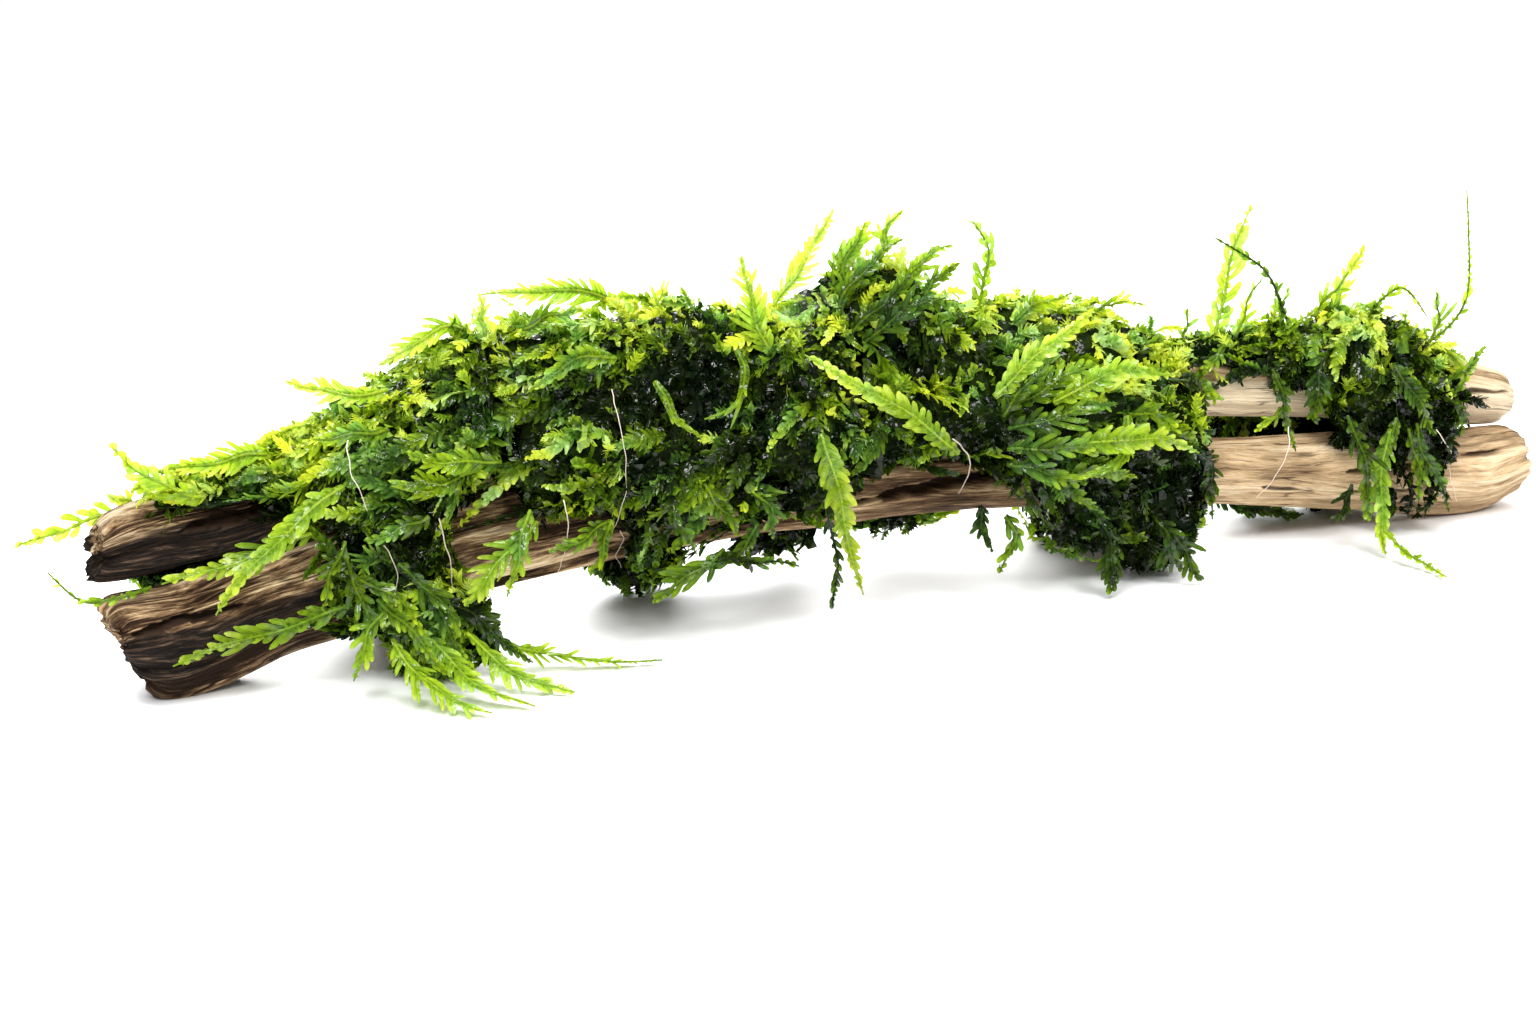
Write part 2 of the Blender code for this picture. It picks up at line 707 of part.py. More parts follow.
def main():
    """Build the sticks, then the moss round them, then the fronds that stand out of it."""
    clear_scene()
    parts = collection("moss_on_driftwood")
    cutters = collection("cutters")
    brown = material("driftwood_brown", WOOD_BROWN, WOOD_ROUGHNESS)
    tan = material("driftwood_tan", WOOD_TAN, WOOD_ROUGHNESS)
    green = material("moss_green", MOSS_GREEN, MOSS_ROUGHNESS)
    bright = material("frond_green", FROND_GREEN, FROND_ROUGHNESS)
    sticks = [
        add_stick(LOWER_STICK, brown, parts, cutters),
        add_stick(UPPER_STICK, tan, parts, cutters),
    ]
    rooms = [add_stick_room(stick, cutters) for stick in (LOWER_STICK, UPPER_STICK)]
    coat = add_moss_coat(cutters)
    clumps = [
        add_moss(name, span, coat, rooms, green, parts, cutters)
        for name, span in MOSS_SPANS.items()
    ]
    mosses = [surface_tree(clump) for clump in clumps]
    trees = mosses + [surface_tree(stick) for stick in sticks]
    for frond in FRONDS:
        trees.append(surface_tree(add_frond(frond, mosses, trees, bright, parts)))
    place_in_metres(parts)


main()
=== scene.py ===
"""Moss on driftwood, dressed for its picture: two weathered sticks under a coat of wet water moss.

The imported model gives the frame. Each stick is made again as a fine grid with its grain, splits and
broken ends, and each moss clump as thousands of small lobed leaves that grow from the CAD clump's own
outside. The fronds that stand out of the moss follow the midribs that the CAD names.

Lengths are in millimetres until Surface.add_to_scene, which places everything in metres. +X runs
along the sticks from the dark broken end to the pale rounded end, -Y is the side that is looked at,
and the floor is the plane z = 0.
"""

import logging
import math
from dataclasses import dataclass, replace
from enum import Enum

import bpy
import numpy as np
from mathutils import Matrix, Vector


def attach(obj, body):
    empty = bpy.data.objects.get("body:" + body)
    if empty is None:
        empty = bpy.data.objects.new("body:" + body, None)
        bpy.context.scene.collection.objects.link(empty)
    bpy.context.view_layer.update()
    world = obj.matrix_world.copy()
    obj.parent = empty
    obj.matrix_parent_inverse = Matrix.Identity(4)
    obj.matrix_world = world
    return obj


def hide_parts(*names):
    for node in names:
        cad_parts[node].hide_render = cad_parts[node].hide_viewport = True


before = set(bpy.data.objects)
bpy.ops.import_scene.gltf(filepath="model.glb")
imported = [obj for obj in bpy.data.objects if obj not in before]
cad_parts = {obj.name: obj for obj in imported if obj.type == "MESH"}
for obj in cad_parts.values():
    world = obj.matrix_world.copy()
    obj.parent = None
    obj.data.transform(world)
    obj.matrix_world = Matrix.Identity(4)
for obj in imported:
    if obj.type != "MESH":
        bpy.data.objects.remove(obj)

Array = np.ndarray
Colour = tuple[float, float, float, float]
Point = tuple[float, float, float]
Stops = tuple[tuple[float, Colour], ...]
Socket = bpy.types.NodeSocket

LOG = logging.getLogger("moss_on_driftwood")
MM = 0.001

# The middle of the object's box in the CAD's own millimetres, which is the frame's origin.
CENTRE = np.array((-3.2, -7.6, 0.0))
FLOOR_GAP = 0.25


# Small tools on whole arrays


def unit(vectors: Array) -> Array:
    """Rows scaled to length one: v / |v|."""
    return vectors / np.maximum(np.linalg.norm(vectors, axis=-1, keepdims=True), 1e-9)


def dot(first: Array, second: Array) -> Array:
    """Row by row, the sum of the products, kept as a column."""
    return np.sum(first * second, axis=-1, keepdims=True)


def smooth_step(values: Array, low: float, high: float) -> Array:
    """3t² - 2t³ of how far each value is from low to high, held between 0 and 1."""
    share = np.clip((values - low) / (high - low), 0.0, 1.0)
    return share * share * (3.0 - 2.0 * share)


def between(values: Array, start: float, end: float, fade: float) -> Array:
    """How far values are between two marks: 1 inside, fading to 0 over a width on both sides of each."""
    inside = smooth_step(values, start - fade, start + fade)
    return inside * (1.0 - smooth_step(values, end - fade, end + fade))


@dataclass(frozen=True)
class LatticeNoise:
    """Smooth noise in space, the same for the same seed."""

    seed: int

    def at(self, points: Array) -> Array:
        """Noise between -1 and 1, with a wavelength of about two units.

        The value is that of the eight corners of a point's lattice cell, each a scrambled whole number,
        blended along each axis by 3t² - 2t³.

        Args:
            points: Places, one row each.

        Returns:
            One value a place.
        """
        cell = np.floor(points).astype(np.int64)
        share = points - cell
        share = share * share * (3.0 - 2.0 * share)
        total = np.zeros(points.shape[:-1])
        for corner in range(8):
            step = np.array([corner & 1, corner >> 1 & 1, corner >> 2 & 1])
            weight = np.prod(np.where(step == 1, share, 1.0 - share), axis=-1)
            total += weight * self._corner(cell + step)
        return total

    def _corner(self, cell: Array) -> Array:
        """A scrambled value between -1 and 1 for each lattice corner.

        Args:
            cell: Whole numbers, a corner each.

        Returns:
            One value a corner.
        """
        key = cell[..., 0] * 73856093 ^ cell[..., 1] * 19349663 ^ cell[..., 2] * 83492791
        key = (key ^ self.seed * 2654435761) & 0xFFFFFFFF
        key = (key ^ key >> 15) * 2246822519 & 0xFFFFFFFF
        key = (key ^ key >> 13) * 3266489917 & 0xFFFFFFFF
        return (key ^ key >> 16) / 0xFFFFFFFF * 2.0 - 1.0


@dataclass
class Surface:
    """A mesh in the making: points in millimetres, faces, and numbers that its finish reads."""

    points: Array
    quads: Array
    tris: Array
    values: dict[str, Array]

    @staticmethod
    def joined(parts: list["Surface"]) -> "Surface":
        """One surface of several, their faces numbered on from one to the next.

        Args:
            parts: The surfaces, which hold the same values.

        Returns:
            The one surface.
        """
        starts = np.cumsum([0] + [len(part.points) for part in parts])
        return Surface(
            points=np.concatenate([part.points for part in parts]),
            quads=np.concatenate([part.quads + start for part, start in zip(parts, starts)]),
            tris=np.concatenate([part.tris + start for part, start in zip(parts, starts)]),
            values={
                key: np.concatenate([part.values[key] for part in parts]) for key in parts[0].values
            },
        )

    def triangle_count(self) -> int:
        """How many triangles the faces come to."""
        return 2 * len(self.quads) + len(self.tris)

    def add_to_scene(self, name: str, finish: bpy.types.Material) -> bpy.types.Object:
        """Make the piece's object, in metres, with its place in its mesh.

        Args:
            name: The piece's name.
            finish: Its material.

        Returns:
            The new object, which sits at the origin.
        """
        mesh = bpy.data.meshes.new(name)
        places = ((self.points - CENTRE) * MM).astype(np.float32)
        corners = np.concatenate([self.quads.ravel(), self.tris.ravel()]).astype(np.int32)
        sizes = np.concatenate([np.full(len(self.quads), 4), np.full(len(self.tris), 3)])
        mesh.vertices.add(len(places))
        mesh.vertices.foreach_set("co", places.ravel())
        mesh.loops.add(len(corners))
        mesh.loops.foreach_set("vertex_index", corners)
        mesh.polygons.add(len(sizes))
        starts = (np.cumsum(sizes) - sizes).astype(np.int32)
        mesh.polygons.foreach_set("loop_start", starts)
        mesh.polygons.foreach_set("use_smooth", np.ones(len(sizes), dtype=bool))
        for key, numbers in self.values.items():
            kind, word = ("FLOAT", "value") if numbers.ndim == 1 else ("FLOAT_VECTOR", "vector")
            layer = mesh.attributes.new(key, kind, "POINT")
            layer.data.foreach_set(word, numbers.astype(np.float32).ravel())
        mesh.update(calc_edges=True)
        mesh.validate()
        mesh.materials.append(finish)
        made = bpy.data.objects.new(name, mesh)
        bpy.context.scene.collection.objects.link(made)
        return made


def grid_quads(rows: int, columns: int) -> Array:
    """The four corners of each cell of a grid whose points run row by row."""
    start = (np.arange(rows - 1)[:, None] * columns + np.arange(columns - 1)).ravel()
    return np.stack([start, start + 1, start + columns + 1, start + columns], axis=1)


def repeated(faces: Array, count: int, size: int) -> Array:
    """The same faces over again for count grids of size points each."""
    return (faces[None] + (np.arange(count) * size)[:, None, None]).reshape(-1, faces.shape[1])


def tube_faces(rings: int, around: int) -> tuple[Array, Array]:
    """Faces of a closed tube: cells between its rings, and a fan to a point in the middle of each end.

    Args:
        rings: How many rings of points the tube has.
        around: How many points a ring has. The two middle points come after all rings.

    Returns:
        The four-sided and the three-sided faces.
    """
    step = np.arange(around)
    after = (step + 1) % around
    start = (np.arange(rings - 1) * around)[:, None]
    cells = np.stack([start + step, start + after, start + around + after, start + around + step], -1)
    middle, end = rings * around, (rings - 1) * around
    first = np.stack([np.full(around, middle), after, step], axis=1)
    last = np.stack([np.full(around, middle + 1), end + step, end + after], axis=1)
    return cells.reshape(-1, 4), np.concatenate([first, last])


def bezier(root: Array, pull: Array, tip: Array, steps: int) -> Array:
    """Points (1-u)² root + 2u(1-u) pull + u² tip, at evenly spread u, one row of points a curve."""
    u = np.linspace(0.0, 1.0, steps)[None, :, None]
    return (1 - u) ** 2 * root[:, None] + 2 * u * (1 - u) * pull[:, None] + u**2 * tip[:, None]


def bent_line(root: Point, bend: Point, tip: Point, steps: int) -> Array:
    """The curve through three places, whose pull is 2·bend - ½(root + tip)."""
    root, bend, tip = (np.array(spot, float)[None] for spot in (root, bend, tip))
    return bezier(root, 2 * bend - 0.5 * (root + tip), tip, steps)[0]


def even_out(line: Array, times: int) -> None:
    """Smooth a line in place: each inner point becomes ¼ of the last, ½ of itself and ¼ of the next."""
    for _ in range(times):
        line[1:-1] = 0.25 * line[:-2] + 0.5 * line[1:-1] + 0.25 * line[2:]


def nearest(points: Array, middles: Array, chunk: int = 1500) -> Array:
    """For each point the number of the nearest middle, where |m|² - 2 p·m is least.

    Args:
        points: The places, one row each.
        middles: What they are compared with, one row each.
        chunk: How many points are worked out at a time.

    Returns:
        One number a point.
    """
    square = (middles**2).sum(axis=1)
    starts = range(0, len(points), chunk)
    found = [(square - 2.0 * points[start : start + chunk] @ middles.T).argmin(axis=1) for start in starts]
    return np.concatenate(found)


def leaf_surface(points: Array, quads: Array, tone: Array, rim: Array, ray: Array) -> Surface:
    """A surface of four-sided faces, with the values that the leaf finish reads."""
    values = dict(tone=tone.ravel(), rim=rim.ravel(), ray=ray.ravel())
    return Surface(points.reshape(-1, 3), quads, np.empty((0, 3), int), values)


# Finishes


class Tree:
    """A node tree in the making, with short calls for the nodes that the finishes share."""

    def __init__(self, tree: bpy.types.NodeTree) -> None:
        """Take the tree that the nodes go into."""
        self.tree = tree

    def node(self, kind: str, **settings: object) -> bpy.types.Node:
        """A new node with its plain settings.

        Args:
            kind: The node's type.
            settings: Its plain settings by name.

        Returns:
            The node.
        """
        made = self.tree.nodes.new(kind)
        for key, value in settings.items():
            setattr(made, key, value)
        return made

    def feed(self, socket: bpy.types.NodeSocket, source: object) -> None:
        """Link a socket to another, or set its number or colour.

        Args:
            socket: What is fed.
            source: Another socket, a number or a colour.
        """
        if isinstance(source, bpy.types.NodeSocket):
            self.tree.links.new(source, socket)
        else:
            socket.default_value = source

    def feed_all(self, sockets: bpy.types.NodeInputs, sources: dict[str, object]) -> None:
        """Feed sockets by their names."""
        for name, source in sources.items():
            self.feed(sockets[name], source)

    def read(self, kind: str, output: str, sources: dict[str, object], **settings: object) -> Socket:
        """One output of a new node whose inputs are fed by name.

        Args:
            kind: The node's type.
            output: The output's name.
            sources: What each input is fed, by its name.
            settings: The node's plain settings by name.

        Returns:
            The output.
        """
        made = self.node(kind, **settings)
        self.feed_all(made.inputs, sources)
        return made.outputs[output]

    def attribute(self, name: str, output: str = "Fac") -> Socket:
        """A piece's own number or vector."""
        return self.node("ShaderNodeAttribute", attribute_name=name).outputs[output]

    def maths(self, operation: str, *numbers: object, clamp: bool = False) -> Socket:
        """One sum on numbers or sockets.

        Args:
            operation: The sum.
            numbers: Its numbers or sockets, in order.
            clamp: Whether the result is held between 0 and 1.

        Returns:
            The result.
        """
        made = self.node("ShaderNodeMath", operation=operation, use_clamp=clamp)
        for socket, number in zip(made.inputs, numbers):
            self.feed(socket, number)
        return made.outputs["Value"]

    def scaled(self, value: object, factor: object, more: object, clamp: bool = False) -> Socket:
        """A number times a factor, plus more."""
        return self.maths("MULTIPLY_ADD", value, factor, more, clamp=clamp)

    def ramp(self, value: object, rows: Stops) -> Socket:
        """A colour read off a row of stops.

        Args:
            value: Where the row is read, 0 to 1.
            rows: The stops.

        Returns:
            The colour.
        """
        made = self.node("ShaderNodeValToRGB")
        elements = made.color_ramp.elements
        elements[0].position, elements[0].color = rows[0]
        elements[1].position, elements[1].color = rows[-1]
        for position, colour in rows[1:-1]:
            elements.new(position).color = colour
        self.feed(made.inputs["Fac"], value)
        return made.outputs["Color"]

    def blend(self, share: object, first: object, second: object, way: str = "MIX") -> Socket:
        """A mix of two colours by a share."""
        sources = {"Factor": share, "A": first, "B": second}
        return self.read("ShaderNodeMix", "Result", sources, data_type="RGBA", blend_type=way)

    def noise(self, vector: object, scale: float, detail: float, rough: float = 0.5) -> Socket:
        """Plain noise of a scale, as a number."""
        sources = {"Vector": vector, "Scale": scale, "Detail": detail, "Roughness": rough}
        return self.read("ShaderNodeTexNoise", "Fac", sources)

    def stretched(self, vector: object, scale: Point) -> Socket:
        """A vector scaled along each axis."""
        return self.read("ShaderNodeMapping", "Vector", {"Vector": vector, "Scale": scale})

    def place(self) -> Socket:
        """The surface point in the piece's own coordinates."""
        return self.node("ShaderNodeTexCoord").outputs["Object"]

    def bump(self, height: object, distance: float) -> Socket:
        """A normal tilted by a height."""
        return self.read("ShaderNodeBump", "Normal", {"Height": height, "Distance": distance})

    def group(self, group: bpy.types.NodeTree, sources: dict[str, object]) -> bpy.types.NodeOutputs:
        """The outputs of a node group whose inputs are fed by name.

        Args:
            group: The node group.
            sources: What each input is fed, by its name.

        Returns:
            The outputs.
        """
        made = self.node("ShaderNodeGroup", node_tree=group)
        self.feed_all(made.inputs, sources)
        return made.outputs


def new_material(name: str) -> tuple[bpy.types.Material, Tree, bpy.types.Node]:
    """A material with its tree and its Principled shader.

    Args:
        name: The material's name.

    Returns:
        The material, its tree and the shader.
    """
    made = bpy.data.materials.new(name)
    made.use_nodes = True
    return made, Tree(made.node_tree), made.node_tree.nodes["Principled BSDF"]


def opaque(*colour: float) -> Colour:
    """A colour with full cover."""
    return (*colour, 1.0)


def stops(*rows: tuple[float, float, float, float]) -> Stops:
    """The stops of a ramp, from rows of place, red, green and blue."""
    return tuple((place, opaque(*colour)) for place, *colour in rows)


# The mottle's noises: turns a metre, and how the wet spots are cut out of theirs.
PATCH_SCALE = 110.0
FLECK_SCALE = 900.0
HUE_SCALE = 130.0
WET_SCALE = 420.0
WET_GAIN, WET_START = 16.0, -7.8

# From bluish green over plain to olive, as factors on a leaf's own colour.
HUES = stops(
    (0.36, 0.76, 0.95, 2.6),
    (0.5, 1.0, 1.0, 1.0),
    (0.64, 1.04, 0.98, 0.4),
)


def mottle_group() -> bpy.types.NodeTree:
    """The node group that varies a leaf's tone: tone + (coarse - ½)·Patches + (fine - ½)·Flecks.

    Wetness is a third noise times WET_GAIN plus WET_START, held between 0 and 1, and Hue is read off
    HUES by a fourth.

    Returns:
        The group, with inputs Tone, Patches and Flecks, and outputs Tone, Wetness and Hue.
    """
    group = bpy.data.node_groups.new("leaf_mottle", "ShaderNodeTree")
    for name, default in (("Tone", 0.5), ("Patches", 0.2), ("Flecks", 0.1)):
        socket = group.interface.new_socket(name, in_out="INPUT", socket_type="NodeSocketFloat")
        socket.default_value = default
    for name in ("Tone", "Wetness"):
        group.interface.new_socket(name, in_out="OUTPUT", socket_type="NodeSocketFloat")
    group.interface.new_socket("Hue", in_out="OUTPUT", socket_type="NodeSocketColor")
    tree = Tree(group)
    inputs = tree.node("NodeGroupInput").outputs
    outputs = tree.node("NodeGroupOutput").inputs
    place = tree.place()
    coarse = tree.maths("SUBTRACT", tree.noise(place, PATCH_SCALE, 2.0), 0.5)
    fine = tree.maths("SUBTRACT", tree.noise(place, FLECK_SCALE, 2.0), 0.5)
    patches = tree.maths("MULTIPLY", coarse, inputs["Patches"])
    flecks = tree.scaled(fine, inputs["Flecks"], patches)
    tree.feed(outputs["Tone"], tree.maths("ADD", inputs["Tone"], flecks, clamp=True))
    wet = tree.noise(place, WET_SCALE, 1.0)
    tree.feed(outputs["Wetness"], tree.scaled(wet, WET_GAIN, WET_START, clamp=True))
    tree.feed(outputs["Hue"], tree.ramp(tree.noise(place, HUE_SCALE, 2.0), HUES))
    return group


@dataclass(frozen=True)
class LeafFinish:
    """Wet moss leaf: green by its tone, glossy, and letting part of the light through."""

    name: str
    slot: str
    through: float
    patches: float
    stops: Stops
    glow: Stops
    hue: float = 1.0
    flecks: float = 0.35
    vein: float = 0.1
    vein_thin: float = 4.0
    rib: float = 0.07
    wet: float = 0.2
    damp: float = 0.5
    matt: float = 0.4
    specular: float = 0.1
    coat_roughness: float = 0.03
    relief_scale: float = 950.0
    relief: float = 0.0004
    rib_relief: float = 0.18
    film_scale: float = 700.0
    film: float = 0.0006

    def material(self, mottle: bpy.types.NodeTree) -> bpy.types.Material:
        """Build the material.

        The tone is the mottle's, lighter on the midrib and waved by the side ribs. Stops give the colour
        by the tone, times a share of the mottle's hue. Wet spots have a clear coat whose own normal
        follows a swollen film, and a rim over one is the matt core.

        Args:
            mottle: The group that varies the tone.

        Returns:
            The material, which reads the attributes tone, rim and ray.
        """
        made, tree, shader = new_material(self.name)
        rim = tree.attribute("rim")
        amounts = {"Tone": tree.attribute("tone"), "Patches": self.patches, "Flecks": self.flecks}
        varied = tree.group(mottle, amounts)
        vein = tree.scaled(rim, -self.vein_thin, 1.0, clamp=True)
        rib = tree.maths("SINE", tree.maths("MULTIPLY", tree.attribute("ray"), math.tau))
        tone = tree.scaled(vein, self.vein, varied["Tone"])
        tone = tree.scaled(rib, self.rib, tone)
        colour, glow = (
            tree.blend(self.hue, tree.ramp(tone, row), varied["Hue"], "MULTIPLY")
            for row in (self.stops, self.glow)
        )
        leafy = tree.scaled(rim, -1.0, 2.0, clamp=True)
        wet = tree.maths("MULTIPLY", varied["Wetness"], leafy)
        gloss = tree.scaled(wet, self.wet - self.damp, self.damp + self.matt)
        gloss = tree.scaled(leafy, -self.matt, gloss)
        noise = tree.noise(tree.place(), self.relief_scale, 2.0)
        height = tree.scaled(rib, self.rib_relief, noise)
        swollen = tree.noise(tree.place(), self.film_scale, 0.0)
        looks = {
            "Base Color": colour,
            "Roughness": gloss,
            "Specular IOR Level": self.specular,
            "Coat Weight": wet,
            "Coat Roughness": self.coat_roughness,
            "Normal": tree.bump(height, self.relief),
            "Coat Normal": tree.bump(swollen, self.film),
        }
        tree.feed_all(shader.inputs, looks)
        glass = tree.read("ShaderNodeBsdfTranslucent", "BSDF", {"Color": glow})
        mixed = tree.node("ShaderNodeMixShader")
        tree.feed(mixed.inputs["Fac"], self.through)
        tree.feed(mixed.inputs[1], shader.outputs["BSDF"])
        tree.feed(mixed.inputs[2], glass)
        output = made.node_tree.nodes["Material Output"]
        tree.feed(output.inputs["Surface"], mixed.outputs["Shader"])
        return made


@dataclass(frozen=True)
class WoodFinish:
    """Weathered wood: lengthwise streaks from dark to pale, charred stains, and fine dark cracks."""

    name: str
    slot: str
    stops: Stops
    stain: Stops
    crack: Colour = opaque(0.03, 0.017, 0.010)
    fibre_share: float = 1.3
    contrast: float = 1.6
    middle: float = 1.15
    stain_edge: float = 2.6
    stain_start: float = 0.8
    smoothest: float = 0.45
    rougher: float = 0.4
    specular: float = 0.09
    crack_relief: float = 0.6
    crack_least: float = 0.3
    relief: float = 0.001

    def material(self, grain: bpy.types.NodeTree) -> bpy.types.Material:
        """Build the material.

        The wood's stops are read at shade + rugged·contrast·(streak + fibre_share·fibre - middle). The
        stain covers it by held (stain_edge·(stain + contrast·(streak - ½)) - stain_start), and cracks
        and hollows darken both, the more the more rugged the wood is. The darkness in the hollows is partly
        the grooves' own dark and partly painted shade.

        Args:
            grain: The group that gives the lines of the grain.

        Returns:
            The material, which reads the attributes straight, shade, stain, hollow and rugged.
        """
        made, tree, shader = new_material(self.name)
        lines = tree.group(grain, {"Straight": tree.attribute("straight", "Vector")})
        streak, fibre, crack = lines["Streak"], lines["Fibre"], lines["Crack"]
        rugged = tree.attribute("rugged")
        shade = tree.scaled(fibre, self.fibre_share, streak)
        shade = tree.scaled(shade, self.contrast, -self.contrast * self.middle)
        shade = tree.scaled(shade, rugged, tree.attribute("shade"), clamp=True)
        stained = tree.scaled(streak, self.contrast, -0.5 * self.contrast)
        stained = tree.maths("ADD", tree.attribute("stain"), stained)
        stained = tree.scaled(stained, self.stain_edge, -self.stain_start, clamp=True)
        colour = tree.blend(stained, tree.ramp(shade, self.stops), tree.ramp(fibre, self.stain))
        # The cracks are the wood's own; the darkness in the hollows is partly its dark grooves and partly
        # painted shade.
        dark = tree.maths("MAXIMUM", crack, tree.attribute("hollow"))
        share = tree.maths("ADD", rugged, self.crack_least)
        dark = tree.maths("MULTIPLY", dark, share, clamp=True)
        height = tree.scaled(crack, -self.crack_relief, fibre)
        looks = {
            "Base Color": tree.blend(dark, colour, self.crack),
            "Roughness": tree.scaled(fibre, self.rougher, self.smoothest),
            "Specular IOR Level": self.specular,
            "Normal": tree.bump(height, self.relief),
        }
        tree.feed_all(shader.inputs, looks)
        return made


@dataclass(frozen=True)
class GrainNoise:
    """A noise drawn out along the grain: how thin along it, its turns a metre, detail and roughness."""

    along: float
    scale: float
    detail: float
    rough: float

    def read(self, tree: Tree, straight: Socket) -> Socket:
        """The noise's number at a place of the straightened stick."""
        drawn = tree.stretched(straight, (self.along, 1.0, 1.0))
        return tree.noise(drawn, self.scale, self.detail, self.rough)


STREAK = GrainNoise(along=0.1, scale=520.0, detail=4.0, rough=0.6)
FIBRE = GrainNoise(along=0.06, scale=2000.0, detail=4.0, rough=0.7)
CRACK = GrainNoise(along=0.06, scale=760.0, detail=2.0, rough=0.45)
WAVE_ALONG = 0.3
WAVE_SCALE = 150.0
WAVE_REACH = 0.003
CRACK_THIN = 26.0
CRACK_GAIN, CRACK_START = -9.0, 4.4


def grain_group() -> bpy.types.NodeTree:
    """The node group of wood grain, read in the stick's own straightened coordinates.

    The place is first shifted across the grain by noise, up to WAVE_REACH, which makes the lines wavy.
    Streak is noise about 2 mm wide and 20 mm long, and Fibre is noise 0.5 mm wide and 8 mm long. Crack
    is a thin line where a third noise is near ½, held(1 - CRACK_THIN·|noise - ½|), times
    held(CRACK_GAIN·Streak + CRACK_START), which keeps it where Streak is low.

    Returns:
        The group, with the input Straight and the outputs Streak, Fibre and Crack.
    """
    group = bpy.data.node_groups.new("wood_grain", "ShaderNodeTree")
    group.interface.new_socket("Straight", in_out="INPUT", socket_type="NodeSocketVector")
    for name in ("Streak", "Fibre", "Crack"):
        group.interface.new_socket(name, in_out="OUTPUT", socket_type="NodeSocketFloat")
    tree = Tree(group)
    straight = tree.node("NodeGroupInput").outputs["Straight"]
    outputs = tree.node("NodeGroupOutput").inputs
    drawn = tree.stretched(straight, (WAVE_ALONG, 1.0, 1.0))
    shift = tree.read("ShaderNodeTexNoise", "Color", {"Vector": drawn, "Scale": WAVE_SCALE})
    wavy = tree.node("ShaderNodeVectorMath", operation="MULTIPLY_ADD")
    for socket, source in zip(wavy.inputs, (shift, (0.0, WAVE_REACH, WAVE_REACH), straight)):
        tree.feed(socket, source)
    straight = wavy.outputs["Vector"]
    streak = STREAK.read(tree, straight)
    tree.feed(outputs["Streak"], streak)
    tree.feed(outputs["Fibre"], FIBRE.read(tree, straight))
    away = tree.maths("ABSOLUTE", tree.maths("SUBTRACT", CRACK.read(tree, straight), 0.5))
    line = tree.scaled(away, -CRACK_THIN, 1.0, clamp=True)
    low = tree.scaled(streak, CRACK_GAIN, CRACK_START, clamp=True)
    tree.feed(outputs["Crack"], tree.maths("MULTIPLY", line, low))
    return group


@dataclass(frozen=True)
class ThreadFinish:
    """Pale rootlets and dry stalks: matt, from brown to straw by their tone."""

    name: str = "rootlet_straw"
    slot: str = "driftwood_tan"
    dark: Colour = opaque(0.10, 0.05, 0.02)
    pale: Colour = opaque(0.86, 0.74, 0.62)
    spot_scale: float = 500.0
    spots: float = 0.6
    roughness: float = 0.5

    def material(self) -> bpy.types.Material:
        """The material, which reads the attribute tone.

        Returns:
            The material.
        """
        made, tree, shader = new_material(self.name)
        noise = tree.noise(tree.place(), self.spot_scale, 2.0)
        spots = tree.scaled(noise, self.spots, -0.5 * self.spots)
        tone = tree.maths("ADD", tree.attribute("tone"), spots, clamp=True)
        tree.feed(shader.inputs["Base Color"], tree.ramp(tone, ((0.0, self.dark), (1.0, self.pale))))
        shader.inputs["Roughness"].default_value = self.roughness
        return made


MOSS_LEAF = LeafFinish(
    name="moss_leaf_wet",
    slot="moss_green",
    through=0.36,
    patches=0.5,
    stops=stops(
        (0.0, 0.005, 0.01, 0.001),
        (0.2, 0.016, 0.034, 0.0015),
        (0.45, 0.068, 0.13, 0.006),
        (0.72, 0.25, 0.39, 0.018),
        (1.0, 0.64, 0.76, 0.09),
    ),
    glow=stops(
        (0.0, 0.004, 0.008, 0.002),
        (0.2, 0.022, 0.055, 0.004),
        (0.45, 0.17, 0.37, 0.01),
        (0.72, 0.5, 0.76, 0.035),
        (1.0, 0.88, 0.95, 0.13),
    ),
)
FROND_LEAF = LeafFinish(
    name="frond_leaf_wet",
    slot="frond_green",
    through=0.42,
    patches=0.25,
    hue=0.45,
    stops=MOSS_LEAF.stops,
    glow=MOSS_LEAF.glow,
)
WOOD_STOPS = stops(
    (0.0, 0.028, 0.014, 0.008),
    (0.2, 0.085, 0.045, 0.023),
    (0.42, 0.22, 0.13, 0.066),
    (0.62, 0.45, 0.305, 0.165),
    (0.8, 0.69, 0.49, 0.285),
    (1.0, 0.9, 0.73, 0.5),
)
CHARRED = stops(
    (0.36, 0.003, 0.0023, 0.002),
    (0.5, 0.012, 0.0085, 0.007),
    (0.6, 0.055, 0.034, 0.022),
    (0.72, 0.2, 0.13, 0.085),
)
BROWN_WOOD = WoodFinish("driftwood_brown_grain", "driftwood_brown", WOOD_STOPS, CHARRED)
TAN_WOOD = WoodFinish("driftwood_tan_grain", "driftwood_tan", WOOD_STOPS, CHARRED)


# The two sticks


@dataclass(frozen=True)
class Split:
    """An open split in the wood's front: its middle, length, height, depth, and slope in degrees."""

    x: float
    z: float
    length: float
    height: float
    depth: float
    slope: float


@dataclass(frozen=True)
class Tint:
    """A stretch of a stick that is darker, paler or stained: where along it, where up it, and how much.

    The share front of its shade is only in front and fades out round to the back: it is painted light on a
    front that lies in shade.
    """

    start: float
    end: float
    low: float
    high: float
    shade: float
    stain: float = 0.0
    front: float = 0.0


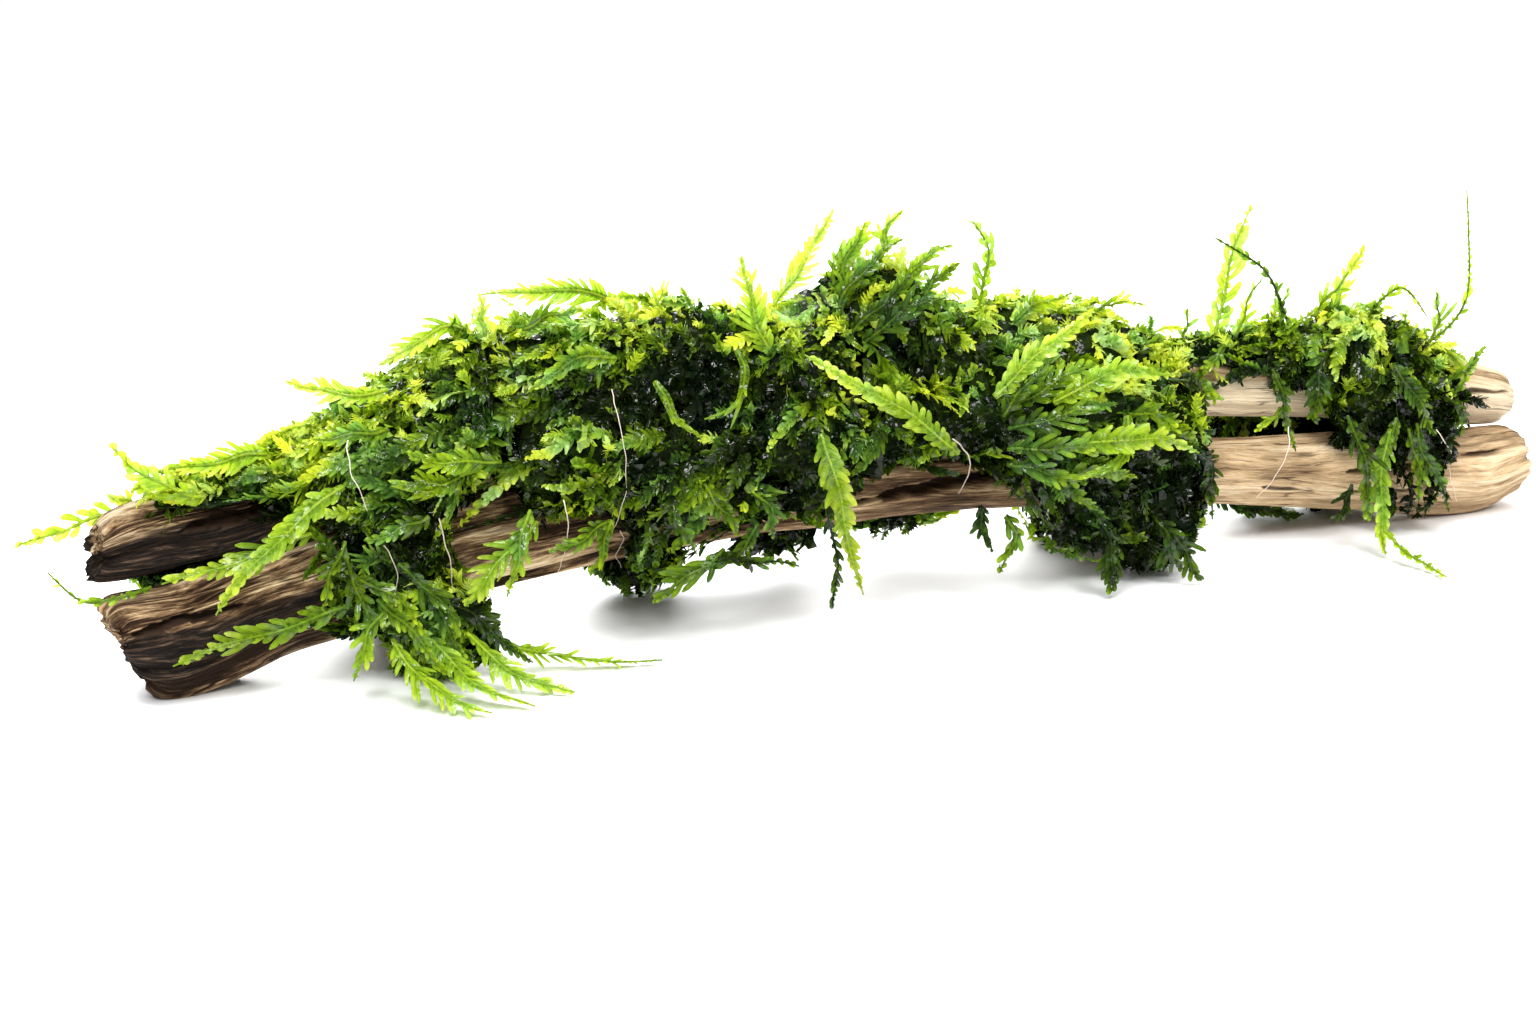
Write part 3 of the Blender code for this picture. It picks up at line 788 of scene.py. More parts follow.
@dataclass
class DriftwoodStick:
    """A weathered stick: its line of x, z and radius, its ridges, splits, grain and broken end."""

    name: str
    node: str
    line: tuple[Point, ...]
    y: float
    lean: float
    turn: float
    splits: tuple[Split, ...]
    tints: tuple[Tint, ...]
    seed: int
    stations: int = 600
    around: int = 156
    cap_rings: tuple[float, ...] = (0.96, 0.86, 0.7, 0.5, 0.3, 0.12)
    end_lean_reach: float = 9.0
    ridges: tuple[tuple[int, float, float], ...] = ((3, 0.0033, 0.032), (5, -0.0054, 0.024))
    strands: tuple[tuple[float, float, float, float], ...] = (
        (60.0, 4.0, 2.5, 1.0),
        (36.0, 1.9, 1.3, 0.85),
        (20.0, 0.95, 0.6, 0.5),
    )
    worn: tuple[tuple[float, float], ...] = (
        (-160, 1.4),
        (-90, 1.1),
        (-20, 0.8),
        (60, 0.42),
        (160, 0.42),
    )
    ridge_worn_and_lit: float = 0.3
    straight_radius: float = 8.0
    tip_reach: float = 4.0
    break_fray: float = 0.35
    break_crack: float = 0.9
    break_grain: float = 0.8
    tip_fray: float = 0.5
    tip_crack: float = 1.2
    end_dark: float = 0.16
    end_patches: float = 0.14
    fine_fray: float = 0.6
    patches: float = 0.07
    patch_size: float = 14.0
    tint_fade: float = 8.0
    tint_edge: float = 0.2
    furthest: float = 12.0
    curve_steps: int = 24

    def middle(self, count: int) -> tuple[Array, Array, Array]:
        """Stations evenly spread along the smooth curve through the line's points.

        The curve between two points a and b, with their neighbours p and n, is the Catmull-Rom cubic
        ½(2a + (b-p)t + (2p-5a+4b-n)t² + (3a-p-3b+n)t³).

        Args:
            count: How many stations.

        Returns:
            Arrays of x, z and radius.
        """
        known = np.array(self.line)
        known = np.concatenate([[2 * known[0] - known[1]], known, [2 * known[-1] - known[-2]]])
        p, a, b, n = (known[start : len(known) - 3 + start, None] for start in range(4))
        t = np.linspace(0.0, 1.0, self.curve_steps, endpoint=False)[None, :, None]
        cubic = 2 * a + (b - p) * t + (2 * p - 5 * a + 4 * b - n) * t**2
        cubic = 0.5 * (cubic + (3 * a - p - 3 * b + n) * t**3)
        dense = np.concatenate([cubic.reshape(-1, 3), known[-2:-1]])
        run = np.concatenate([[0.0], np.cumsum(np.linalg.norm(np.diff(dense, axis=0), axis=1))])
        even = np.linspace(0.0, run[-1], count)
        return tuple(np.interp(even, run, dense[:, axis]) for axis in range(3))

    def clearance(self, points: Array) -> Array:
        """How far points are outside the round of the stick: √((y-y₀)² + (z-z₀)²) - radius at their x.

        Args:
            points: The places, three numbers each.

        Returns:
            One distance a place.
        """
        line = np.array(self.line)
        middle = np.interp(points[..., 0], line[:, 0], line[:, 1])
        radius = np.interp(points[..., 0], line[:, 0], line[:, 2])
        gap = np.hypot(points[..., 1] - self.y, points[..., 2] - middle) - radius
        past = np.maximum(line[0, 0] - points[..., 0], points[..., 0] - line[-1, 0])
        return np.maximum(gap, past)

    def cleared(self, points: Array, least: Array) -> Array:
        """Push points straight out from the stick's middle until they are a gap outside it.

        Args:
            points: The places, one row each.
            least: The smallest gap of each.

        Returns:
            The places, pushed out.
        """
        line = np.array(self.line)
        middle = np.interp(points[:, 0], line[:, 0], line[:, 1])
        out = np.stack([0.0 * middle, points[:, 1] - self.y, points[:, 2] - middle], axis=1)
        under = np.clip(least - self.clearance(points), 0.0, self.furthest)
        return points + unit(out) * under[:, None]

    def surface(self) -> Surface:
        """The stick's skin, a grid of rings along it with rings that close each end.

        A ring's points stand at the radius times 1 + Σ share·sin(lobes·(angle + turn) + 2π·twist·x),
        plus the relief of the grain. The rings of the broken end lean, and both ends are frayed: their
        points are moved along the stick by noise, cracks and grain.

        Returns:
            The surface, with the values straight, shade, stain, hollow and rugged.
        """
        x, z, radius = self.middle(self.stations)
        caps = np.array(self.cap_rings)
        shrink = np.concatenate([caps[::-1], np.ones(self.stations), caps])
        pad = (len(caps), len(caps))
        x, z, radius = (np.pad(row, pad, mode="edge") for row in (x, z, radius))
        run = np.concatenate([[0.0], np.cumsum(np.hypot(np.diff(x), np.diff(z)))])
        angle = np.linspace(0.0, math.tau, self.around, endpoint=False)[None, :]
        far = shrink[:, None] * self.straight_radius
        straight = np.stack(
            np.broadcast_arrays(run[:, None], far * np.cos(angle), far * np.sin(angle)), axis=-1
        )
        swell = np.ones((len(x), self.around))
        for lobes, twist, share in self.ridges:
            swell += share * np.sin(lobes * (angle + self.turn) + math.tau * twist * x[:, None])
        grain, crack = self._grain(straight)
        worn = np.interp(x, *np.array(self.worn).T)[:, None]
        grain, crack = grain * worn, crack * np.minimum(worn, 1.0)
        rim = (radius[:, None] * swell + grain) * shrink[:, None]
        slope = np.zeros(len(x))
        body = slice(len(caps), len(caps) + self.stations)
        slope[body] = np.gradient(z[body], run[body])
        slope = slope[:, None]
        height = rim * np.sin(angle)
        near_end = np.clip(1.0 - (x - x[0])[:, None] / self.end_lean_reach, 0.0, 1.0)
        broken = LatticeNoise(self.seed + 5)
        frayed = broken.at(straight / (6.0, 1.1, 1.1))
        frayed = frayed + self.fine_fray * broken.at(straight / (6.0, 0.5, 0.5) + 9)
        near_tip = np.clip(1.0 - (x[-1] - x)[:, None] / self.tip_reach, 0.0, 1.0)
        ahead = self.lean * height * near_end - slope * height
        brink = smooth_step(near_end, 0.5, 1.0)
        torn = self.break_fray * frayed + self.break_crack * crack - self.break_grain * grain
        ahead += torn * brink
        ahead -= (self.tip_fray * frayed + self.tip_crack * crack) * near_tip
        across = self.y + rim * np.cos(angle)
        points = np.stack([x[:, None] + ahead, across, z[:, None] + height], axis=-1)
        # Hollows of the grain and the open splits are darkened: partly the wood's own dark grooves, partly
        # painted shade.
        hollow = np.maximum(crack, self._open_splits(points))
        points[..., 2] = np.maximum(points[..., 2], 0.0)
        shade, stain = self._tinted(points, angle + 0.0 * x[:, None])
        # Raised strands are paler: partly rubbed wear, partly painted light on the ridges.
        shade = shade + self.ridge_worn_and_lit * grain
        ends = smooth_step(np.clip(1.0 - shrink, 0.0, 1.0), 0.0, 0.2)[:, None]
        shade = shade - ends * (self.end_dark - self.end_patches * frayed)
        rugged = worn + 0.0 * hollow
        values = dict(straight=straight * MM, shade=shade, stain=stain, hollow=hollow, rugged=rugged)
        return self._closed(points, values)

    def _grain(self, straight: Array) -> tuple[Array, Array]:
        """The relief of the weathered grain: rounded strands with sharp valleys between them.

        Each layer is the size of a noise drawn out along the stick, so its valleys lie where the noise
        crosses zero: Σ depth·(min(|noise|, 0.6) - 0.3).

        Args:
            straight: The points in the coordinates of the straightened stick.

        Returns:
            The relief in millimetres, and how deep in a valley each point is, 0 to 1.
        """
        relief = np.zeros(straight.shape[:-1])
        hollow = np.zeros(straight.shape[:-1])
        for number, (reach, across, depth, valley) in enumerate(self.strands):
            size = np.abs(LatticeNoise(self.seed + number).at(straight / (reach, across, across)))
            relief += depth * (np.minimum(size, 0.6) - 0.3)
            hollow = np.maximum(hollow, valley * (1.0 - smooth_step(size, 0.0, 0.11)))
        where = LatticeNoise(self.seed + 7).at(straight / (30.0, 6.0, 6.0))
        return relief, hollow * smooth_step(where, -0.5, 0.35)

    def _open_splits(self, points: Array) -> Array:
        """Push the wood in at each split, by depth·√(1 - e) inside its ellipse e < 1, in place.

        Args:
            points: The grid's points, which are changed.

        Returns:
            How deep in a split each point is, 0 to 1.
        """
        deep = np.zeros(points.shape[:2])
        for split in self.splits:
            ahead = points[..., 0] - split.x
            up = points[..., 2] - split.z - math.tan(math.radians(split.slope)) * ahead
            torn = LatticeNoise(self.seed + 9).at(points / (3.5, 9.0, 0.9))
            inside = 1.0 - (2 * ahead / split.length) ** 2 - (2 * up / split.height) ** 2 + 0.7 * torn
            inside = inside * (np.abs(ahead) < 0.56 * split.length)
            share = np.sqrt(np.clip(inside, 0.0, 1.0)) * (points[..., 1] < self.y)
            points[..., 1] += split.depth * share
            deep = np.maximum(deep, np.clip(share * 1.6, 0.0, 1.0))
        return deep

    def _tinted(self, points: Array, angle: Array) -> tuple[Array, Array]:
        """Shade and stain of each point, from the tints that cover it, faded at their edges.

        Args:
            points: The grid's points.
            angle: Each point's angle round the stick.

        Returns:
            The shade and the stain.
        """
        patchy = LatticeNoise(self.seed + 4).at(points / self.patch_size)
        shade = np.full(points.shape[:2], 0.5) + self.patches * patchy
        stain = np.zeros(points.shape[:2])
        up = np.sin(angle)
        for tint in self.tints:
            along = between(points[..., 0], tint.start, tint.end, self.tint_fade)
            across = between(up, tint.low, tint.high, self.tint_edge)
            # The front share of a tint is painted light on the front, which lies in shade.
            shade += tint.shade * along * across * (1.0 - tint.front * (0.5 + 0.5 * np.cos(angle)))
            stain += tint.stain * along * across
        return shade, stain

    def _closed(self, points: Array, values: dict[str, Array]) -> Surface:
        """Join each ring to the next and each end ring to a point in its middle.

        Args:
            points: The grid's points.
            values: What the finish reads at each.

        Returns:
            The closed surface, with the values' means in the two middles.
        """
        quads, tris = tube_faces(*points.shape[:2])
        whole = {}
        for key, numbers in values.items():
            flat = numbers.reshape(-1, *numbers.shape[2:])
            whole[key] = np.concatenate([flat, [numbers[0].mean(axis=0)], [numbers[-1].mean(axis=0)]])
        middles = [points[0].mean(axis=0), points[-1].mean(axis=0)]
        points = np.concatenate([points.reshape(-1, 3), middles])
        return Surface(points, quads[:, [0, 3, 2, 1]], tris[:, [0, 2, 1]], whole)

    def build(self, finish: WoodFinish, grain: bpy.types.NodeTree) -> bpy.types.Object:
        """Make the stick's piece in place of its CAD node.

        Args:
            finish: What the stick is made of.
            grain: The group that gives its grain.

        Returns:
            The new piece.
        """
        surface = self.surface()
        made = surface.add_to_scene(self.name, finish.material(grain))
        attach(made, "root")
        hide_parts(self.node)
        LOG.info("%s: %d triangles", self.name, surface.triangle_count())
        return made


LOWER_STICK = DriftwoodStick(
    name="driftwood_lower",
    node="lower_stick",
    line=(
        (-147.8, 8.3, 6.6),
        (-147.2, 8.3, 7.8),
        (-145.4, 8.3, 9.1),
        (-140.0, 8.5, 9.6),
        (-133.0, 9.8, 9.4),
        (-122.0, 12.9, 8.7),
        (-110.0, 15.0, 8.3),
        (-84.0, 20.0, 7.7),
        (-54.0, 22.4, 7.4),
        (-23.0, 22.9, 7.1),
        (0.0, 22.6, 7.4),
        (18.0, 21.7, 7.3),
        (40.0, 19.8, 7.0),
        (75.0, 15.8, 6.9),
        (91.0, 13.9, 7.4),
        (111.0, 11.9, 8.4),
        (125.0, 10.0, 8.9),
        (138.0, 8.5, 9.1),
        (144.5, 8.6, 9.0),
        (150.0, 9.5, 8.2),
        (153.8, 10.0, 7.5),
        (155.2, 10.2, 6.4),
    ),
    y=0.0,
    lean=-0.52,
    turn=0.7,
    splits=(
        Split(12.0, 22.0, 42.0, 2.2, 3.2, 3.0),
        Split(-139.0, 14.6, 20.0, 1.6, 2.6, 9.0),
        Split(118.0, 13.6, 30.0, 1.3, 2.0, -2.0),
        Split(91.5, 12.0, 13.0, 1.1, 1.4, -8.0),
        Split(142.0, 13.8, 14.0, 1.1, 1.4, -1.0),
        Split(116.0, 9.0, 18.0, 1.0, 1.2, -4.0),
    ),
    tints=(
        Tint(-170, -96, 0.5, 1.3, 0.05),
        Tint(-170, -96, -0.25, 0.42, -0.25, 0.95),
        Tint(-170, -96, -1.3, -0.35, -0.2, 0.35),
        Tint(-170, -138, -1.3, 1.3, -0.14, 0.3),
        Tint(-90, -20, -1.3, 1.3, -0.18, 0.1),
        Tint(-20, 62, -1.3, 1.3, -0.06, 0.2),
        # The pale right end, whose front share is painted light on the shaded front.
        Tint(70, 138, -1.3, 1.3, 0.27, -0.8, 0.7),
        Tint(68, 77, 0.35, 0.8, -0.28, 0.3),
        Tint(84, 104, -0.1, 0.7, -0.14),
        # The pale right end, whose front share is painted light on the shaded front.
        Tint(138, 170, -1.3, 1.3, 0.28, -0.8, 0.7),
    ),
    seed=11,
)
UPPER_STICK = DriftwoodStick(
    name="driftwood_upper",
    node="upper_stick",
    line=(
        (-150.6, 24.6, 4.2),
        (-149.4, 24.9, 5.0),
        (-146.0, 25.7, 5.9),
        (-140.0, 26.5, 6.2),
        (-130.0, 27.6, 6.5),
        (-120.0, 28.8, 6.4),
        (-100.0, 31.6, 6.3),
        (-80.0, 34.2, 6.3),
        (-40.0, 37.2, 6.3),
        (0.0, 37.6, 6.3),
        (40.0, 36.4, 6.3),
        (75.0, 33.2, 6.4),
        (93.0, 31.0, 6.1),
        (104.0, 29.6, 6.0),
        (125.0, 27.0, 6.3),
        (142.0, 24.6, 6.5),
        (151.5, 22.8, 5.7),
        (155.5, 21.6, 4.6),
        (156.8, 21.2, 3.2),
    ),
    y=6.0,
    lean=0.42,
    turn=2.1,
    splits=(
        Split(-125.0, 30.6, 26.0, 2.8, 3.6, 8.0),
        Split(147.0, 25.4, 16.0, 1.2, 1.8, -8.0),
    ),
    tints=(
        Tint(-170, -112, -1.3, 0.4, -0.16, 0.9),
        Tint(-170, -112, 0.45, 1.3, -0.16, 0.3),
        Tint(-112, 70, -1.3, 1.3, 0.03, 0.0),
        Tint(70, 170, 0.4, 1.3, 0.3, -0.6),
        # The lower half of the right end is lightened: painted light on the shaded underside, mostly only in
        # front.
        Tint(70, 170, -1.3, 0.35, 0.75, -0.8, 0.85),
    ),
    seed=47,
    around=132,
)
STICKS = (LOWER_STICK, UPPER_STICK)


# Fronds and leaves


@dataclass
class Ribs:
    """The midribs of a batch of fronds, one row each."""

    line: Array
    face: Array
    width: Array
    tone: Array
    twist: Array

    def __len__(self) -> int:
        """How many midribs there are."""
        return len(self.line)

    def lengths(self) -> Array:
        """Each midrib's length, the sum of its steps."""
        return np.linalg.norm(np.diff(self.line, axis=1), axis=-1).sum(axis=1)

    def frames(self, along: Array) -> tuple[Array, Array, Array, Array]:
        """Places on each midrib and the three directions there.

        A place is between the two nearest points of the midrib. run is the slope there, face the flat
        side made square to it and turned about it by twist·(u - 0.2), and side is run × face.

        Args:
            along: Shares u of the way from root to tip, the same for all midribs.

        Returns:
            Arrays place, run, face and side, each midribs × shares × 3.
        """
        last = self.line.shape[1] - 1
        index = np.minimum((along * last).astype(int), last - 1)
        share = (along * last - index)[None, :, None]
        slopes = np.gradient(self.line, axis=1)
        place = self.line[:, index] * (1 - share) + self.line[:, index + 1] * share
        run = unit(slopes[:, index] * (1 - share) + slopes[:, index + 1] * share)
        flat = self.face[:, None] + 0.0 * run
        flat = unit(flat - dot(flat, run) * run)
        side = np.cross(run, flat)
        turn = (self.twist[:, None] * (along[None] - 0.2))[..., None]
        face = flat * np.cos(turn) + side * np.sin(turn)
        return place, run, face, np.cross(run, face)


# The share of the way to a leaf's tip where it has its own tone: it is darker before and lighter after,
# partly the tip's paler green and partly painted shade towards a root that lies deep in the moss.
MIDWAY = 0.6


def frond_envelope(u: Array) -> Array:
    """A frond's outline from root to tip: (1-u)^0.75 · (held (u+0.08)/0.36)^0.8 · 1.12, at most one."""
    outline = np.clip(1.0 - u, 0.0, 1.0) ** 0.75 * np.clip((u + 0.08) / 0.36, 0.0, 1.0) ** 0.8
    return np.minimum(1.12 * outline, 1.0)


def rays(ribs: Ribs, u: Array, off: Array) -> Array:
    """The count of fine side ribs up to each point of a leaf, 1.1·length·u - 0.8·off, off in mm."""
    return 1.1 * ribs.lengths()[:, None, None] * u[None, :, None] - 0.8 * off


@dataclass(frozen=True)
class FeatherShape:
    """The leaflets of a feathered frond: how many, or how far apart, how they stand, and their form."""

    leaflets: int = 1
    pitch: float = 1.0
    open_angle: float = 64.0
    shut_angle: float = 36.0
    forward: float = 0.2
    cup: float = -0.12
    fold: float = 0.25
    stations: tuple[float, ...] = (0.0, 0.3, 0.62, 0.86, 1.0)
    half_widths: tuple[float, ...] = (0.58, 0.5, 0.46, 0.38, 0.14)
    columns: tuple[float, ...] = (-1.0, 0.0, 1.0)
    lamina: float = 0.2
    lamina_stations: int = 12
    uneven: float = 0.16
    tumble: float = 0.28
    jitter: float = 0.22
    lean_jitter: float = 0.09
    shortest: float = 0.25
    stagger: float = 0.2
    keel: float = 0.12
    leaflet_light: float = 0.26
    frond_light: float = 0.28
    tone_jitter: float = 0.045

    def surface(self, ribs: Ribs, seed: int) -> Surface:
        """Leaflets on both sides of each midrib, and the narrow blade that joins them.

        The leaflets of one side stand 0.4 of their spacing ahead of the other side's. A leaflet's middle
        at share t is place + along·reach·t + (forward·run + cup·face)·reach·t², where
        along leans from the midrib by an angle that closes towards the tip. Its edges stand off by the
        half width at t, times the spacing of the leaflets, and are raised by the fold. Leaflets are
        lighter to their own tip and to the frond's, partly their paler tips and partly painted shade
        towards the root.

        Args:
            ribs: The midribs.
            seed: Picks the unevenness.

        Returns:
            The surface, with the values tone, rim and ray.
        """
        rng = np.random.default_rng(seed)
        count, many = len(ribs), self.leaflets
        u = (np.arange(many) + 0.5 + rng.uniform(-self.jitter, self.jitter, many)) / many * 0.95 + 0.02
        place, run, face, side = (part[:, :, None] for part in ribs.frames(u))
        sign = np.array([-1.0, 1.0])[None, None, :, None]
        lean = np.radians(self.open_angle + (self.shut_angle - self.open_angle) * u)
        lean = (lean[None, :, None] + rng.normal(0.0, self.lean_jitter, (count, many, 2)))[..., None]
        out = side * sign
        along = out * np.sin(lean) + run * np.cos(lean)
        across = run * np.sin(lean) - out * np.cos(lean)
        reach = ribs.width[:, None, None] * 0.5 * frond_envelope(u)[None, :, None]
        reach = reach * (1.0 + rng.normal(0.0, self.uneven, (count, many, 2)))
        reach = np.maximum(reach[..., None] / np.sin(lean), self.shortest)
        droop = self.cup + rng.normal(0.0, self.tumble, (count, many, 2))[..., None]
        spacing = (ribs.lengths() / many)[:, None, None, None]
        t = np.array(self.stations)[:, None, None]
        half = np.array(self.half_widths)[:, None, None]
        c = np.array(self.columns)[None, :, None]
        base, run, face, along, across, reach, droop, spacing = (
            part[:, :, :, None, None]
            for part in (place + 0.0 * along, run, face, along, across, reach, droop, spacing)
        )
        base = base + self.stagger * spacing * sign[..., None, None] * run
        points = base + along * reach * t + (self.forward * run + droop * face) * reach * t**2
        points = points + across * (c * half * spacing)
        points = points + face * (self.fold * np.abs(c) * half * spacing)
        rows, columns = len(self.stations), len(self.columns)
        cells = grid_quads(rows, columns)
        pair = np.concatenate([cells, cells[:, ::-1] + rows * columns])
        # Lighter to the leaflet's and the frond's tip: partly paler tips, partly painted shade towards the
        # root.
        tone = ribs.tone[:, None, None, None, None] + self.leaflet_light * (t[..., 0] - MIDWAY)
        tone = tone + 0.0 * points[..., 0] + self.frond_light * (u[None, :, None, None, None] - MIDWAY)
        tone = tone + rng.normal(0.0, self.tone_jitter, (count, many, 2, 1, 1))
        rim = np.abs(c[..., 0]) + 0.0 * tone
        quads = repeated(pair, count * many, 2 * rows * columns)
        leaflets = leaf_surface(points, quads, tone, rim, 0.0 * rim)
        return Surface.joined([leaflets, self._joining_blade(ribs)])

    def _joining_blade(self, ribs: Ribs) -> Surface:
        """The blade along the midrib: half width 0.2·(1-½u) + lamina·½·width·envelope, with a keel.

        Args:
            ribs: The midribs.

        Returns:
            The surface, with the values tone, rim and ray.
        """
        u = np.linspace(0.0, 1.0, self.lamina_stations)
        place, _, face, side = ribs.frames(u)
        half = 0.5 * self.lamina * ribs.width[:, None] * frond_envelope(u)[None]
        half = (half + 0.2 * (1.0 - 0.5 * u)[None])[..., None, None]
        c = np.array([-1.0, 0.0, 1.0])[:, None]
        points = place[:, :, None] + side[:, :, None] * half * c
        points = points + face[:, :, None] * (self.keel - self.keel * np.abs(c))
        tone = ribs.tone[:, None, None] + 0.0 * points[..., 0] - 0.16 + 0.14 * u[None, :, None]
        edge = np.abs(c[..., 0]) + 0.0 * tone
        quads = repeated(grid_quads(len(u), 3)[:, ::-1], len(ribs), len(u) * 3)
        return leaf_surface(points, quads, tone, edge, rays(ribs, u, half[..., 0] * edge))


@dataclass(frozen=True)
class LobedShape:
    """A crinkled leaf whose edge is cut into rounded lobes that lean to the tip."""

    lobes: int
    profile: tuple[float, ...] = (0.62, 0.96, 0.98)
    lead: tuple[float, ...] = (0.0, 0.3, 0.7)
    columns: tuple[float, ...] = (-1.0, 0.0, 1.0)
    forward: float = 0.8
    curl: float = 0.3
    ruffle: float = 0.5
    waves: float = 2.2
    width_jitter: float = 0.12
    wave_jitter: float = 0.35
    curl_jitter: float = 0.45
    tip_light: float = 0.36
    edge_light: float = 0.12

    def surface(self, ribs: Ribs, seed: int) -> Surface:
        """A blade on each midrib, with a few rows of points for each lobe.

        The edge at u stands off by ½·width·envelope(u)·profile and is pushed on by forward·pitch·lead.
        A point at share c of the half width rises by half·(curl·c² + ruffle·|c|·sin(2π·waves·u + phase)),
        with a phase of its own for each side of each leaf.

        Args:
            ribs: The midribs.
            seed: Picks the ruffles.

        Returns:
            The surface, with the values tone, rim and ray.
        """
        rng = np.random.default_rng(seed)
        count, rows = len(ribs), len(self.profile) * self.lobes + 1
        u = np.linspace(0.0, 1.0, rows)
        cut = np.append(np.tile(self.profile, self.lobes), self.profile[0])
        lead = np.append(np.tile(self.lead, self.lobes), self.lead[0])[None, :, None, None]
        place, run, face, side = (part[:, :, None] for part in ribs.frames(u))
        half = 0.5 * ribs.width[:, None] * (frond_envelope(u) + 0.03)[None] * cut[None]
        half = half[..., None, None] * (1.0 + rng.normal(0.0, self.width_jitter, (count, rows, 1, 1)))
        pitch = (ribs.lengths() / self.lobes)[:, None, None, None]
        c = np.array(self.columns)[None, None, :, None]
        edge = np.abs(c)
        phase = rng.uniform(0.0, math.tau, (count, 1, 2, 1))
        phase = np.where(c < 0, phase[:, :, :1], phase[:, :, 1:])
        wave = np.sin(math.tau * self.waves * u[None, :, None, None] + phase)
        columns = len(self.columns)
        wave = self.ruffle * edge * (wave + rng.normal(0.0, self.wave_jitter, (count, rows, columns, 1)))
        curl = (self.curl + rng.normal(0.0, self.curl_jitter, count))[:, None, None, None]
        points = place + side * half * c + run * (edge * self.forward * pitch * lead)
        points = points + face * (half * (curl * c**2 + wave))
        reach = u[None, :, None] + 0.0 * points[..., 0]
        # Darker towards the root and lighter to the tip: partly the tip's paler green, partly painted shade
        # where the root lies deep in the moss.
        tone = ribs.tone[:, None, None] + self.tip_light * (reach - MIDWAY)
        tone = tone + self.edge_light * (edge[..., 0] - 0.4)
        quads = repeated(grid_quads(rows, columns)[:, ::-1], count, rows * columns)
        rim = edge[..., 0] + 0.0 * tone
        return leaf_surface(points, quads, tone, rim, rays(ribs, u, (half * edge)[..., 0]))


@dataclass(frozen=True)
class TubeShape:
    """A thin stalk or rootlet that tapers from its root to its tip."""

    root_radius: float
    tip_radius: float
    stations: int = 12
    sides: int = 5

    def surface(self, ribs: Ribs, seed: int) -> Surface:
        """A closed tube along each midrib: place + radius(u)·(cos a·side + sin a·face).

        Args:
            ribs: The midribs.
            seed: Not used by a tube, which has no unevenness.

        Returns:
            The surface, with the values tone, rim and ray.
        """
        u = np.linspace(0.0, 1.0, self.stations)
        place, _, face, side = ribs.frames(u)
        angle = np.linspace(0.0, math.tau, self.sides, endpoint=False)[:, None]
        radius = (self.root_radius + (self.tip_radius - self.root_radius) * u)[None, :, None, None]
        ring = side[:, :, None] * np.cos(angle) + face[:, :, None] * np.sin(angle)
        rings = (place[:, :, None] + radius * ring).reshape(len(ribs), -1, 3)
        points = np.concatenate([rings, place[:, :1], place[:, -1:]], axis=1)
        quads, tris = tube_faces(self.stations, self.sides)
        size = points.shape[1]
        tone = np.repeat(ribs.tone, size)
        return Surface(
            points=points.reshape(-1, 3),
            quads=repeated(quads, len(ribs), size),
            tris=repeated(tris, len(ribs), size),
            values=dict(tone=tone, rim=0.0 * tone, ray=0.0 * tone),
        )


class Cut(Enum):
    """The cuts of the fronds: fine and coarse feathers, teeth, buds, bare stalks, and plain blades."""

    FINE = FeatherShape(
        pitch=1.4,
        half_widths=(0.46, 0.34, 0.32, 0.27, 0.08),
        forward=0.4,
        lamina=0.2,
        lamina_stations=20,
        uneven=0.2,
        tumble=0.4,
    )
    TOOTHED = FeatherShape(
        pitch=1.95,
        open_angle=66.0,
        shut_angle=44.0,
        half_widths=(0.46, 0.38, 0.34, 0.3, 0.1),
        forward=0.5,
        lamina=0.42,
        lamina_stations=24,
        uneven=0.14,
        tumble=0.3,
    )
    COARSE = FeatherShape(
        pitch=2.3,
        open_angle=52.0,
        shut_angle=30.0,
        forward=0.4,
        half_widths=(0.36, 0.22, 0.24, 0.22, 0.07),
        lamina=0.2,
        lamina_stations=20,
        uneven=0.32,
        tumble=0.4,
    )
    BUDS = FeatherShape(
        pitch=1.8,
        open_angle=62.0,
        shut_angle=30.0,
        half_widths=(0.2, 0.26, 0.4, 0.42, 0.16),
        forward=0.5,
        lamina=0.08,
        uneven=0.4,
        tumble=0.8,
    )
    SPARSE = FeatherShape(
        pitch=1.7,
        open_angle=36.0,
        shut_angle=20.0,
        lamina=0.05,
        half_widths=(0.16, 0.24, 0.26, 0.2, 0.05),
        uneven=0.5,
        tumble=0.5,
    )
    BLADE = FeatherShape(
        pitch=2.5,
        open_angle=24.0,
        shut_angle=14.0,
        half_widths=(0.2, 0.2, 0.15, 0.1, 0.02),
        lamina=0.95,
        lamina_stations=16,
    )


# Which way the flat of a frond faces: to the front and up a little, or to the sky on the floor.
FRONT = (-0.42, -0.87, 0.27)
SKY = (-0.10, -0.30, 0.95)


@dataclass(frozen=True)
class Frond:
    """A frond that stands out of the moss: its root, its bend and its tip, as in the CAD, and its look."""

    name: str
    root: Point
    bend: Point
    tip: Point
    width: float
    tone: float
    cut: Cut
    face: Point = FRONT


def named_fronds(*rows: tuple) -> tuple[Frond, ...]:
    """Fronds of their own, from rows of name, root, bend, tip, width, tone, cut, and a face if not FRONT."""
    return tuple(Frond(*row) for row in rows)


def sprays(*rows: tuple[Point, Point, Point, float, float, Cut]) -> tuple[Frond, ...]:
    """Fronds that belong to a clump, from rows of root, bend, tip, width, tone and cut."""
    return tuple(Frond("", *row) for row in rows)


